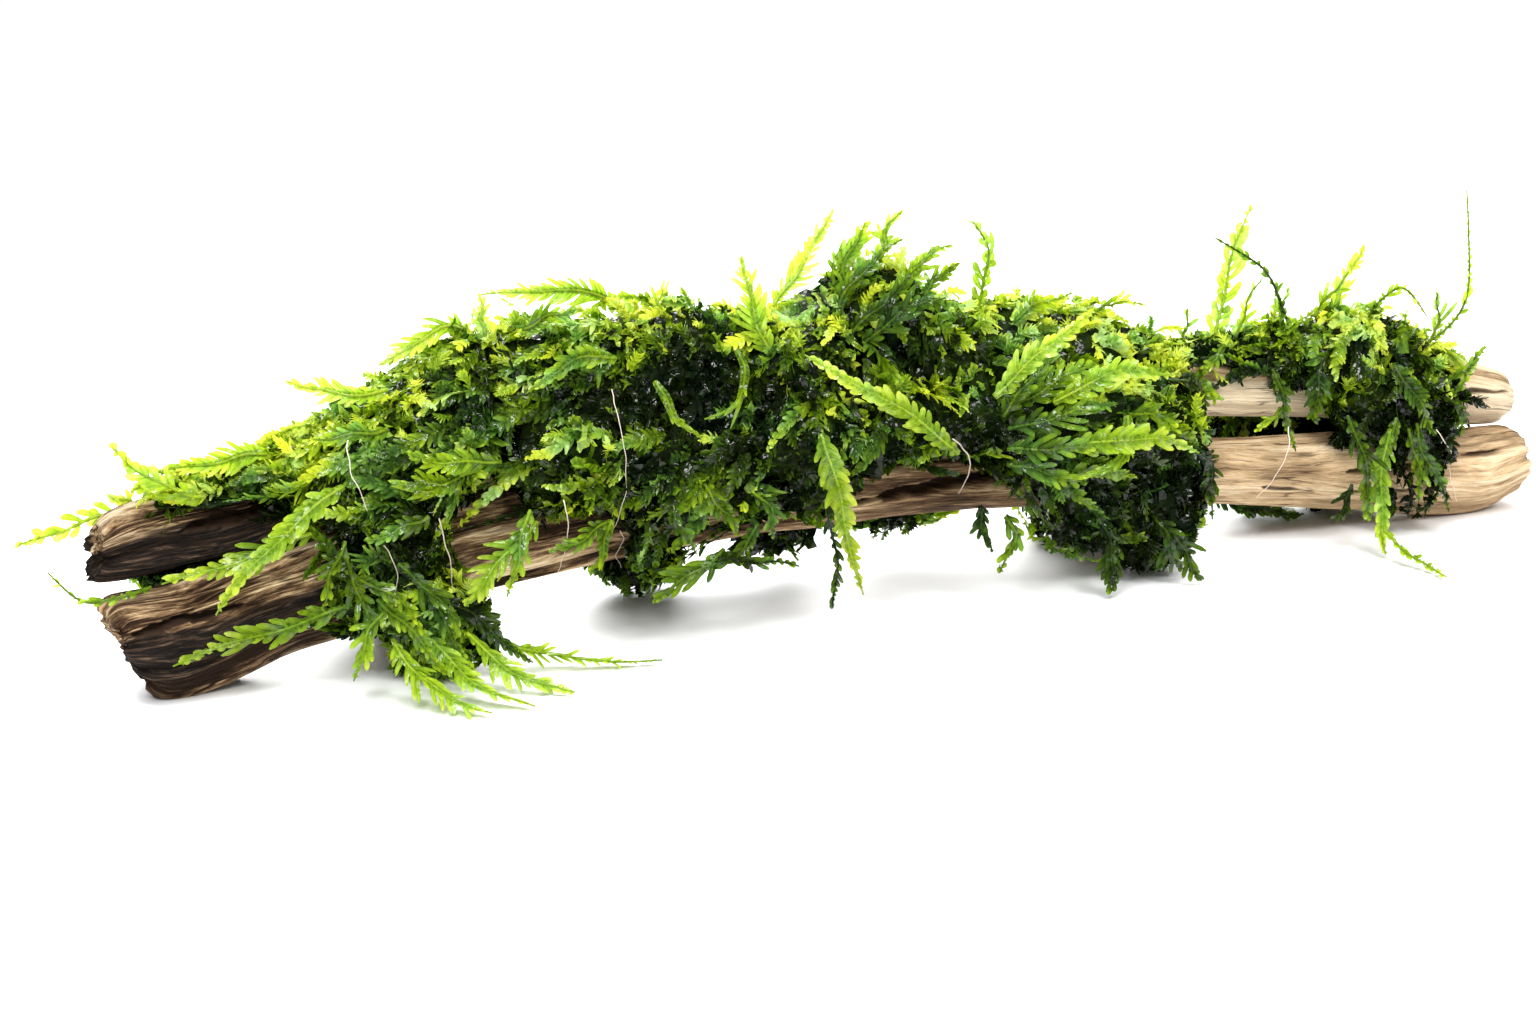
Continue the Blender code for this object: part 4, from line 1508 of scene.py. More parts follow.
FRONDS = named_fronds(
    ("frond_far_left_spray", (-144, 10, 30.5), (-154, 11, 29), (-164, 12, 26), 5.0, 0.88, Cut.BUDS),
    ("frond_left_top", (-133, -2, 35), (-141, -1, 38), (-148, 2, 45), 4.5, 0.85, Cut.BUDS),
    ("frond_left_top_spray", (-121, 0, 41), (-129, 0, 41), (-140, 0, 40), 6.0, 0.86, Cut.FINE),
    ("frond_left_gap", (-117, -12, 29), (-129, -10, 25.5), (-143, -8, 22), 5.5, 0.8, Cut.COARSE),
    ("tendril_left_gap", (-145, -9, 22), (-155, -8, 20.5), (-162, -6, 26), 1.4, 0.8, Cut.SPARSE),
    ("frond_left_bright", (-112, -16, 38), (-125, -17, 30), (-136, -17, 18), 5.5, 0.84, Cut.TOOTHED),
    ("frond_left_shoulder", (-99, -2, 51), (-109, -1, 51), (-117, 0, 54), 5.5, 0.95, Cut.FINE),
    ("frond_pale_shoulder", (-82, 4, 59), (-90, 4, 57), (-99, 4, 54), 5.5, 0.95, Cut.FINE),
    ("frond_arched_top", (-50, 6, 60), (-63, 6, 64.5), (-78, 6, 65), 6.0, 0.85, Cut.FINE),
    ("frond_bright_upright", (-25, -6, 50), (-29, -5, 61), (-30, -3, 70), 7.0, 0.9, Cut.FINE),
    ("frond_tall_pale", (-17, 11, 54), (-9, 13, 64), (-2, 15, 74), 5.5, 1.0, Cut.FINE),
    ("frond_crest_left", (-4, 3, 60), (-4, 3, 67), (-1, 3, 73), 5.0, 0.75, Cut.FINE),
    ("frond_crest_middle", (3, 6, 62), (5, 7, 69), (9, 7, 74), 5.0, 0.8, Cut.FINE),
    ("frond_crest_right", (4, -4, 60), (6, -5, 66), (13, -6, 69), 5.0, 0.75, Cut.FINE),
    ("frond_curled_upright", (24, 4, 53), (26.5, 4, 63), (23, 4, 71), 4.2, 0.75, Cut.BUDS),
    ("frond_yellow_upright", (81, 6, 41), (84, 6, 55), (89, 6, 69), 5.5, 0.92, Cut.BUDS),
    ("stem_dark_upright", (98, 3, 43), (90, 2, 56), (78, 2, 64), 1.6, 0.55, Cut.SPARSE),
    ("frond_tuft_pale", (109, 5, 44), (113, 5, 52), (117, 5, 59), 4.5, 0.95, Cut.FINE),
    ("stem_tuft_arched", (116, 1, 44), (123, 1, 50), (132, 2, 43), 1.8, 0.8, Cut.SPARSE),
    ("tendril_long", (129, -2, 38), (141, 1, 47), (142, 4, 69), 1.4, 0.8, Cut.SPARSE),
    ("stem_tuft_end", (131, -6, 27), (136, -6, 32), (141, -6, 37), 2.0, 0.8, Cut.SPARSE),
    ("frond_long_face", (7, -21, 32), (-9, -23, 44), (-25, -20, 54), 5.6, 0.88, Cut.TOOTHED),
    ("frond_hanging", (-22, -21, 39), (-18, -21, 25), (-12, -19, 6), 6.4, 0.88, Cut.TOOTHED),
    ("frond_fan_up", (15, -20, 42), (25, -21, 50), (37, -19, 57), 5.6, 0.92, Cut.TOOTHED),
    ("frond_fan_across", (25, -25, 41), (37, -28, 46), (51, -27, 44), 6.0, 0.85, Cut.TOOTHED),
    ("frond_fan_point", (27, -27, 32), (40, -31, 34), (55, -30, 29), 6.4, 0.85, Cut.TOOTHED),
    ("frond_beard_middle", (42, -21, 13), (41, -23, 7), (39, -25, 1.2), 6.0, 0.4, Cut.COARSE),
    ("frond_beard_right", (54, -23, 12), (57, -24, 6), (60, -25, 1.2), 6.0, 0.4, Cut.COARSE),
    ("frond_tuft_hanging", (110, -17, 25), (106, -20, 11), (104.5, -25, 1.0), 5.6, 0.82, Cut.TOOTHED),
    ("tendril_tuft_floor", (104.5, -24, 6), (106, -33, 2), (106, -43, 1.0), 2.4, 0.85, Cut.COARSE, SKY),
    ("frond_left_stick", (-112, -18, 17), (-127, -15, 13), (-143, -13, 8.5), 6.0, 0.74, Cut.COARSE),
    ("frond_left_drop", (-107, -21, 16), (-111, -23, 12), (-114, -24, 5), 4.5, 0.75, Cut.COARSE),
    ("frond_floor_near", (-106, -22, 11), (-102, -31, 4), (-94, -39, 1.0), 6.5, 0.85, Cut.FINE, SKY),
    ("frond_floor_second", (-99, -22, 10), (-94, -31, 4), (-86, -39, 1.0), 6.0, 0.85, Cut.TOOTHED, SKY),
    ("frond_floor_third", (-92, -21, 10), (-86, -28, 4), (-77, -35, 1.0), 6.0, 0.85, Cut.FINE, SKY),
    ("frond_floor_long", (-84, -17, 6), (-73, -21, 2.5), (-56, -25, 1.0), 5.0, 0.8, Cut.FINE, SKY),
    ("frond_mid_left", (-76, -15, 27), (-85, -19, 21), (-92, -21, 15), 6.5, 0.85, Cut.FINE),
    ("frond_underside", (-40, -17, 18), (-47, -18, 14), (-55, -18, 10), 6.0, 0.6, Cut.COARSE),
)
LEFT_SPRAYS = sprays(
    ((-141, 9, 30), (-145, 8, 32), (-148, 8, 35), 3.5, 0.95, Cut.FINE),
    ((-136, 4, 36), (-140, 3, 37), (-145, 3, 36), 4.0, 0.85, Cut.FINE),
    ((-113, -19, 29), (-116, -20, 23), (-118, -20, 17.5), 3.5, 0.65, Cut.COARSE),
    ((-113, -19, 26), (-111, -21, 18), (-110, -22, 9), 4.0, 0.6, Cut.COARSE),
    ((-111, -20, 22), (-106, -24, 19), (-101, -27, 12), 4.0, 0.6, Cut.FINE),
    ((-108, -20, 18), (-103, -25, 12), (-97, -29, 4), 4.0, 0.7, Cut.FINE),
    ((-104, -20, 24), (-98, -22, 18), (-93, -23, 9), 4.5, 0.5, Cut.COARSE),
    ((-100, -19, 20), (-96, -22, 12), (-92, -26, 3), 4.0, 0.55, Cut.FINE),
    ((-95, -16, 15), (-88, -20, 10), (-80, -22, 3), 5.0, 0.3, Cut.FINE),
    ((-98, -20, 32), (-103, -20, 30), (-110, -20, 29), 4.5, 0.65, Cut.FINE),
    ((-92, -19, 38), (-97, -21, 38), (-103, -21, 38), 5.0, 0.6, Cut.FINE),
    ((-103, -14, 47), (-109, -13, 46), (-116, -12, 46), 4.5, 0.7, Cut.FINE),
    ((-84, -19, 40), (-93, -20, 41), (-102, -20, 44), 5.5, 0.7, Cut.FINE),
    ((-92, -19, 36), (-98, -20, 37), (-105, -21, 39), 2.6, 0.8, Cut.BLADE),
)
CENTRE_SPRAYS = sprays(
    ((-79, 2, 58), (-79.5, 2, 62), (-80, 2, 66), 3.5, 1.0, Cut.FINE),
    ((-44.5, 0, 59), (-45, 0, 62), (-45, 0, 65), 2.6, 1.0, Cut.SPARSE),
    ((-74, -4, 60), (-69, -5, 62), (-64, -5, 63), 4.5, 0.7, Cut.FINE),
    ((-54, -18, 51.5), (-51.5, -21, 46), (-46.5, -22, 41), 1.8, 0.75, Cut.BLADE),
    ((-36.5, -15, 55), (-36.5, -19, 48), (-46, -22, 44.5), 1.7, 0.75, Cut.BLADE),
    ((-63, -17, 26), (-68, -18, 24), (-75, -18, 22), 4.0, 0.65, Cut.FINE),
    ((-78, -17, 30), (-81, -19, 23), (-83.5, -19, 15), 4.0, 0.75, Cut.COARSE),
    ((-62, -16, 26), (-64, -17, 21), (-66, -16, 17), 2.4, 0.75, Cut.BLADE),
    ((-20.5, -20, 28), (-19, -21, 15), (-19.5, -21, 5), 2.2, 0.3, Cut.SPARSE),
    ((-42, -19, 17), (-34, -19, 15.5), (-25, -18, 13), 2.2, 0.45, Cut.SPARSE),
    ((-33, -17, 22), (-38, -18, 17), (-45, -18, 15), 4.0, 0.5, Cut.FINE),
    ((-59, -12, 55), (-69, -16, 56), (-79, -19, 52), 4.5, 0.72, Cut.TOOTHED),
    ((-44, -17, 31), (-41, -19, 26), (-38, -19, 21), 4.5, 0.58, Cut.FINE),
    ((-51, -17, 29), (-50, -19, 24), (-46, -18, 18), 4.0, 0.55, Cut.COARSE),
    ((-34, -17, 28), (-31, -19, 24), (-30, -17, 19), 4.0, 0.6, Cut.FINE),
)
RIGHT_SPRAYS = sprays(
    ((-9, 0, 53), (-3.5, 0, 63), (6, 0, 70), 4.5, 0.6, Cut.FINE),
    ((-9, -6, 53), (-2, -8, 60), (5, -8, 66), 4.5, 0.5, Cut.FINE),
    ((-7, -8, 52), (0, -11, 58), (9, -11, 60), 5.0, 0.5, Cut.COARSE),
    ((-6, 6, 58), (-1, 8, 66), (2, 8, 72), 3.5, 0.75, Cut.FINE),
    ((8, 0, 57), (13, 0, 62), (18, 0, 64), 4.0, 0.65, Cut.FINE),
    ((28, -4, 52), (34, -4, 55), (41, -4, 57), 4.0, 0.75, Cut.FINE),
    ((19, -20, 40), (26, -23, 44), (36, -22, 47), 6.5, 0.62, Cut.COARSE),
    ((17, -22, 36), (26, -27, 39), (38, -27, 40), 7.0, 0.6, Cut.COARSE),
    ((17, -22, 32), (24, -28, 33), (36, -29, 31), 7.0, 0.64, Cut.COARSE),
    ((17, -22, 29), (22, -27, 28), (32, -27, 25), 6.0, 0.55, Cut.COARSE),
    ((17, -20, 38), (21, -22, 44), (29, -21, 51), 6.0, 0.6, Cut.COARSE),
    ((41, -26, 37), (38, -29, 30), (28, -28, 26), 3.0, 0.8, Cut.BLADE),
    ((42, -25, 37), (47, -27, 36), (52, -26, 33), 5.0, 0.65, Cut.COARSE),
    ((19, -18, 17.5), (20, -20, 13), (17, -20, 7), 4.5, 0.6, Cut.COARSE),
    ((15.5, -14, 19), (15.5, -16, 15), (17.5, -16, 10), 4.0, 0.35, Cut.FINE),
    ((38, -21, 16), (40, -24, 9), (39.5, -25, 3), 5.0, 0.3, Cut.COARSE),
    ((52, -18, 13), (54, -21, 8), (59, -21, 2), 5.0, 0.42, Cut.COARSE),
    ((57, -15, 28), (61, -15, 22), (66, -13, 12), 5.0, 0.4, Cut.FINE),
    ((58, -10, 37), (63, -10, 34), (69, -8, 28), 5.0, 0.45, Cut.FINE),
    ((48, 2, 48), (53.5, 2, 52), (62, 2, 51.5), 2.4, 0.85, Cut.SPARSE),
    ((67, -6, 36), (72, -6, 34), (77, -5, 32), 3.5, 0.75, Cut.COARSE),
    ((72, 2, 42), (71.5, 2, 46), (72, 2, 50), 2.4, 0.8, Cut.SPARSE),
    ((64, 12, 44), (68, 16, 40), (73, 17, 33), 4.5, 0.6, Cut.FINE),
    ((62, 15, 38), (67, 17, 34), (74, 17, 27), 4.5, 0.5, Cut.FINE),
)
TUFT_SPRAYS = sprays(
    ((80, 0, 42), (76, -2, 40), (73, -3, 37), 4.0, 0.6, Cut.FINE),
    ((96, 3, 44), (96, 3, 48), (97, 3, 52), 2.6, 0.85, Cut.SPARSE),
    ((86, 5, 42), (88, 5, 48), (92, 5, 54), 2.6, 0.9, Cut.SPARSE),
    ((104, 3, 45), (108, 3, 50), (112, 3, 54), 3.0, 0.8, Cut.SPARSE),
    ((130, -2, 38), (131, -3, 44), (130.5, -3, 49), 2.6, 0.8, Cut.SPARSE),
    ((131.5, -6, 30), (136, -7, 33.5), (142, -6, 37), 2.4, 0.65, Cut.SPARSE),
    ((125, -10, 29), (129, -11, 24), (134, -9, 19), 2.4, 0.55, Cut.SPARSE),
    ((118, -15, 25), (121, -16, 15), (128.5, -14, 4.5), 3.6, 0.5, Cut.FINE),
    ((86.5, -8, 38), (87.5, -11, 31), (91, -11, 21), 3.2, 0.5, Cut.FINE),
    ((88, -9, 30), (85, -10, 28), (82, -10, 26), 3.0, 0.75, Cut.COARSE),
    ((99, -17, 29), (102, -20, 18), (104, -20, 7), 5.0, 0.5, Cut.COARSE),
    ((104, -13, 13), (102, -14, 9), (100, -13, 6), 4.0, 0.3, Cut.COARSE),
    ((112, -14, 38), (117, -16, 30), (122, -15, 22), 5.0, 0.5, Cut.FINE),
    ((112, -16, 27), (108, -18, 17), (104, -22, 4), 4.5, 0.66, Cut.FINE),
    ((116, -15, 24), (118, -16, 16), (119, -15, 9), 3.2, 0.55, Cut.COARSE),
    ((96, -12, 40), (93, -14, 33), (94, -14, 27), 5.0, 0.42, Cut.FINE),
    ((82, 8, 8), (92, 10, 4), (103, 9, 2), 5.0, 0.25, Cut.FINE),
    ((88, 6, 6), (97, 7, 3), (106, 6, 1.5), 4.0, 0.35, Cut.FINE),
    ((81, 12, 40), (76, 16, 37), (70, 17, 31), 4.5, 0.55, Cut.FINE),
    ((128, 12, 33), (134, 15, 29), (139, 14, 23), 3.6, 0.5, Cut.FINE),
    ((126, 14, 26), (132, 15, 21), (138, 14, 16), 3.6, 0.45, Cut.FINE),
)


@dataclass
class NodeMesh:
    """A CAD node's faces in the millimetres of this script."""

    corners: Array

    @classmethod
    def of(cls, *names: str) -> "NodeMesh":
        """Read the triangles of one or more nodes from the frame.

        Args:
            names: The nodes' names.

        Returns:
            The faces of all the nodes.
        """
        found = []
        for name in names:
            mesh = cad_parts[name].data
            mesh.calc_loop_triangles()
            places = np.empty(len(mesh.vertices) * 3)
            mesh.vertices.foreach_get("co", places)
            index = np.empty(len(mesh.loop_triangles) * 3, dtype=np.int32)
            mesh.loop_triangles.foreach_get("vertices", index)
            found.append((places.reshape(-1, 3) / MM + CENTRE)[index.reshape(-1, 3)])
        return cls(corners=np.concatenate(found))

    def middles(self) -> Array:
        """Each face's middle."""
        return self.corners.mean(axis=1)

    def normals(self) -> Array:
        """Each face's direction times twice its area, (b - a) × (c - a)."""
        a, b, c = (self.corners[:, corner] for corner in range(3))
        return np.cross(b - a, c - a)

    def off_seams(self, seams: tuple[float, ...], gap: float = 0.3) -> Array:
        """Whether each face is more than a gap away from the seams, where two clumps meet."""
        return np.min(np.abs(self.middles()[:, :1] - np.array(seams)), axis=1) > gap

    def merged(self) -> tuple[Array, Array]:
        """The node's points without doubles, and its faces as their numbers.

        Returns:
            The points, and the three numbers of each face.
        """
        flat = self.corners.reshape(-1, 3)
        _, first, index = np.unique(
            np.round(flat, 3), axis=0, return_index=True, return_inverse=True
        )
        return flat[first], index.reshape(-1, 3)

    def gap(self, points: Array) -> tuple[Array, Array]:
        """How far points are outside the faces, and the way out.

        The gap is (p - m)·n, for the face whose middle m is nearest, where n is its direction.

        Args:
            points: The places, one row each.

        Returns:
            The gap and the direction n of each.
        """
        middles, ways = self.middles(), unit(self.normals())
        index = nearest(points, middles)
        return np.sum((points - middles[index]) * ways[index], axis=1), ways[index]


@dataclass
class Carrier:
    """What leaves lie on: the outside of all the moss clumps and of the two sticks."""

    moss: NodeMesh
    sticks: tuple[DriftwoodStick, ...]
    deepest: float = 14.0

    @classmethod
    def of(cls, clumps: tuple[str, ...], sticks: tuple[DriftwoodStick, ...]) -> "Carrier":
        """Read the clumps from the frame, and leave out the faces where they meet."""
        whole = NodeMesh.of(*clumps)
        return cls(NodeMesh(whole.corners[whole.off_seams(SEAMS)]), sticks)

    def wood_gap(self, points: Array) -> Array:
        """How far points are from the nearest stick's round."""
        return np.minimum.reduce([stick.clearance(points) for stick in self.sticks])

    def held(self, points: Array, most: Array) -> Array:
        """Draw points back in to within a gap of the moss, unless they are that near the wood.

        Args:
            points: The places, one row each.
            most: The largest gap of each.

        Returns:
            The places, drawn in.
        """
        for _ in range(2):
            gap, way = self.moss.gap(points)
            over = np.clip(gap - most, 0.0, None) * (self.wood_gap(points) > most)
            points = points - way * over[:, None]
        return points

    def cleared(self, points: Array, least: Array) -> Array:
        """Push points out until they are a gap outside the moss and the wood.

        Args:
            points: The places, one row each.
            least: The smallest gap of each.

        Returns:
            The places, pushed out.
        """
        for _ in range(2):
            gap, way = self.moss.gap(points)
            under = np.clip(least - gap, 0.0, self.deepest) * (gap > -self.deepest)
            points = points + way * under[:, None]
            for stick in self.sticks:
                points = stick.cleared(points, least)
        return points


@dataclass
class SignatureFronds:
    """The fronds that stand out of the moss, each a piece of its own in place of its CAD node."""

    plans: tuple[Frond, ...]
    carrier: Carrier
    stations: int = 17
    stand_off: float = 2.0
    darker: float = 0.07
    sway: float = 0.8
    sway_waves: float = 1.3
    sway_phase: float = 0.31
    root_depth: float = 1.5
    root_share: float = 0.2
    twist_phase: float = 7.0
    lowest: float = 0.8
    stalk: TubeShape = TubeShape(0.34, 0.16, stations=16)
    stalk_dull: float = 0.1
    stalk_dark: float = 0.3
    seed: int = 900

    def build(self, finish: LeafFinish, mottle: bpy.types.NodeTree) -> None:
        """Make every frond.

        Args:
            finish: What the fronds are made of.
            mottle: The group that varies its tone.
        """
        material = finish.material(mottle)
        total = 0
        for plan, surface in zip(self.plans, self.surfaces()):
            piece = surface.add_to_scene(plan.name + "_leaf", material)
            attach(piece, "root")
            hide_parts(plan.name)
            total += surface.triangle_count()
        LOG.info("signature fronds: %d pieces, %d triangles", len(self.plans), total)

    def surfaces(self) -> list[Surface]:
        """Each plan's surface, on a midrib that is moved clear of what carries it."""
        return [self.shape(plan, self.seed + number) for number, plan in enumerate(self.plans)]

    def shape(self, plan: Frond, seed: int) -> Surface:
        """One frond: its leaflets and its stalk, held above the floor.

        Args:
            plan: The frond.
            seed: Picks its unevenness.

        Returns:
            The surface, with the values tone, rim and ray.
        """
        ribs = self.ribs(plan)
        cut = plan.cut.value
        many = max(5, round(float(ribs.lengths()[0]) / cut.pitch))
        leaf = replace(cut, leaflets=many).surface(ribs, seed)
        stalk = self.stalk.surface(ribs, seed)
        stalk.values["tone"] -= self.stalk_dark if plan.cut is Cut.SPARSE else self.stalk_dull
        surface = Surface.joined([leaf, stalk])
        surface.points[:, 2] = np.maximum(surface.points[:, 2], FLOOR_GAP)
        return surface

    def ribs(self, plan: Frond) -> Ribs:
        """A plan's midrib, swayed to the side, pushed out from its carriers, and evened out again.

        Args:
            plan: The frond.

        Returns:
            Its midrib.
        """
        line = bent_line(plan.root, plan.bend, plan.tip, self.stations)
        share = np.linspace(0.0, 1.0, len(line))
        side = unit(np.cross(line[-1] - line[0], np.array(plan.face)))
        turns = self.sway_waves * share + self.sway_phase * sum(plan.tip)
        wave = np.sin(math.tau * turns) * np.sin(math.pi * share)
        line = line + self.sway * wave[:, None] * side
        rise = (self.stand_off + self.root_depth) * np.clip(share / self.root_share, 0, 1)
        line = self.carrier.cleared(line, -self.root_depth + rise)
        even_out(line, 4)
        line[:, 2] = np.maximum(line[:, 2], self.lowest)
        return Ribs(
            line=line[None],
            face=unit(np.array([plan.face], float)),
            width=np.array([plan.width], float),
            tone=np.array([plan.tone - self.darker], float),
            twist=np.array([math.sin(self.twist_phase * sum(plan.tip))]),
        )


# The moss clumps

SEAMS = (-79.5, -79.1, -8.2, -7.8, 74.8, 75.2)


class Zone(Enum):
    """Where on a clump a kind of leaf grows: the least and the most that the outside may look up."""

    ALL = (-1.1, 1.1)
    CREST = (0.45, 1.1)
    FRINGE = (-1.1, -0.05)


@dataclass(frozen=True)
class Growth:
    """A kind of leaf of the moss mass: how long and wide it is, how it stands, and where it grows."""

    shape: FeatherShape | LobedShape
    length: tuple[float, float]
    width: tuple[float, float]
    lift: tuple[float, float]
    depth: tuple[float, float]
    align: float
    tone: float
    spread: float
    proud: float
    tumble: float
    zone: Zone = Zone.ALL


@dataclass(frozen=True)
class Glow:
    """A place where the moss is lighter or darker: its middle, how far it reaches, and how much."""

    x: float
    y: float
    z: float
    reach: float
    tone: float

    def near(self, points: Array) -> Array:
        """How near points are to the middle: exp(-(distance/reach)²)."""
        away = np.linalg.norm(points - (self.x, self.y, self.z), axis=1)
        return np.exp(-((away / self.reach) ** 2))


FLOW = (
    (-160, (-1.0, 0.0, 0.1)),
    (-120, (-0.95, 0.0, 0.0)),
    (-85, (-0.85, 0.0, -0.15)),
    (-60, (-0.7, 0.0, -0.3)),
    (-20, (-0.2, 0.0, -0.5)),
    (10, (0.2, 0.0, -0.3)),
    (30, (0.9, 0.0, 0.1)),
    (55, (0.7, 0.0, -0.4)),
    (90, (-0.5, 0.0, 0.2)),
    (110, (0.0, 0.0, -0.7)),
    (140, (0.8, 0.0, -0.1)),
)
# Lighter and darker spots of the moss: partly its own tone, partly painted light and painted shade.
TONE_AND_SHADE_SPOTS = (
    Glow(-100, -16, 34, 26, -0.02),
    Glow(-100, -20, 8, 14, 0.06),
    Glow(-128, -6, 34, 22, 0.03),
    Glow(-42, -14, 45, 18, -0.2),
    Glow(-62, -16, 44, 14, -0.1),
    Glow(0, -10, 40, 24, -0.08),
    Glow(38, -20, 38, 20, 0.2),
    Glow(30, -12, 52, 16, 0.1),
    Glow(52, -16, 10, 17, -0.2),
    Glow(-42, -18, 18, 18, 0.24),
    Glow(-42, -17, 24, 15, 0.4),
    Glow(116, -10, 26, 18, -0.16),
)
HANG = {
    Zone.ALL: np.zeros(3),
    Zone.CREST: np.array((0.0, 0.0, 0.8)),
    Zone.FRINGE: np.array((0.0, 0.0, -2.0)),
}
SMALL_FEATHER = FeatherShape(
    leaflets=10,
    stations=(0.0, 0.6, 1.0),
    half_widths=(0.46, 0.36, 0.12),
    lamina=0.22,
    lamina_stations=6,
)
FROND_GROWTH = Growth(
    SMALL_FEATHER,
    length=(8.0, 18.0),
    width=(3.2, 5.4),
    lift=(4.0, 28.0),
    depth=(0.4, 1.8),
    align=0.74,
    tone=0.05,
    spread=0.14,
    proud=1.2,
    tumble=0.4,
)
LEAF_GROWTH = Growth(
    LobedShape(4, columns=(-1.0, -0.5, 0.0, 0.5, 1.0), ruffle=0.65, waves=2.2),
    length=(4.0, 8.5),
    width=(2.8, 5.2),
    lift=(8.0, 60.0),
    depth=(0.8, 3.0),
    align=0.5,
    tone=-0.04,
    spread=0.16,
    proud=0.5,
    tumble=0.7,
)
SPRIG_GROWTH = Growth(
    LobedShape(4, (0.62, 1.0), (0.0, 0.6), ruffle=0.6),
    length=(2.6, 5.4),
    width=(1.6, 3.2),
    lift=(15.0, 80.0),
    depth=(0.2, 2.0),
    align=0.25,
    tone=-0.06,
    spread=0.19,
    proud=0.6,
    tumble=0.9,
)
# The crest's leaves are lighter: painted light on the top edge.
CREST_GROWTH = Growth(
    SMALL_FEATHER,
    length=(5.0, 9.0),
    width=(2.2, 3.6),
    lift=(25.0, 70.0),
    depth=(0.3, 1.5),
    align=0.5,
    tone=0.28,
    spread=0.12,
    proud=2.4,
    tumble=0.5,
    zone=Zone.CREST,
)
FRINGE_GROWTH = Growth(
    LobedShape(7, (0.5, 1.0), (0.0, 0.7)),
    length=(5.0, 10.0),
    width=(2.4, 4.2),
    lift=(5.0, 40.0),
    depth=(0.3, 1.5),
    align=0.75,
    tone=0.0,
    spread=0.14,
    proud=1.2,
    tumble=0.6,
    zone=Zone.FRINGE,
)
GROWTHS = (FROND_GROWTH, LEAF_GROWTH, SPRIG_GROWTH, CREST_GROWTH, FRINGE_GROWTH)


@dataclass
class Bunches:
    """The bunches that the leaves of a clump gather in: where, which way they comb, and how light."""

    middles: Array
    ways: Array
    tones: Array
    rises: Array
    reach: float

    @classmethod
    def among(cls, spots: Array, seed: int, spacing: float = 8.5, spread: float = 0.13) -> "Bunches":
        """Take the spots that are a spacing away from all that were taken before.

        Args:
            spots: Places all over the clump's outside.
            seed: Draws the ways and the tones.
            spacing: The least distance between two bunches.
            spread: How much lighter or darker a bunch may be.

        Returns:
            The bunches.
        """
        taken: list[Array] = []
        for spot in spots:
            if not taken or np.linalg.norm(np.array(taken) - spot, axis=1).min() > spacing:
                taken.append(spot)
        rng = np.random.default_rng(seed)
        ways = unit(rng.normal(0.0, 1.0, (len(taken), 3)))
        tones, rises = rng.normal(0.0, (spread, 0.9), (len(taken), 2)).T
        return cls(np.array(taken), ways, tones, rises, 0.8 * spacing)

    def around(self, spots: Array) -> tuple[Array, Array, Array, Array, Array]:
        """What each spot takes from its nearest bunch.

        Args:
            spots: The places, one row each.

        Returns:
            The bunch's way, the way out from its middle, its tone, how far it rises, and the distance
            from its middle as a share of its reach.
        """
        index = nearest(spots, self.middles)
        out = spots - self.middles[index]
        share = np.clip(np.linalg.norm(out, axis=1) / self.reach, 0.0, 1.0)
        return self.ways[index], unit(out), self.tones[index], self.rises[index], share


def moss_tone_and_painted_light(points: Array, normals: Array, seed: int) -> Array:
    """How light the moss is at places on its outside, with painted light where it looks up.

    0.275 + 0.12·up + 0.47·(3t² - 2t³ of up) + patches of noise + Σ tone·exp(-(distance/reach)²), where
    up is how far the outside looks up. The terms in up are painted light, and the spots are partly the
    moss's own tone and partly painted light and painted shade.

    Args:
        points: The places.
        normals: The outside's direction at each.
        seed: Picks the patches.

    Returns:
        One tone a place.
    """
    # Painted light: the moss is lighter where its outside looks up.
    tone = 0.275 + 0.12 * normals[:, 2] + 0.47 * smooth_step(normals[:, 2], 0.3, 0.95)
    tone = tone + 0.17 * LatticeNoise(seed).at(points / 8.0)
    # Spots that are partly the moss's own tone, partly painted light and painted shade.
    for glow in TONE_AND_SHADE_SPOTS:
        tone = tone + glow.tone * glow.near(points)
    return tone


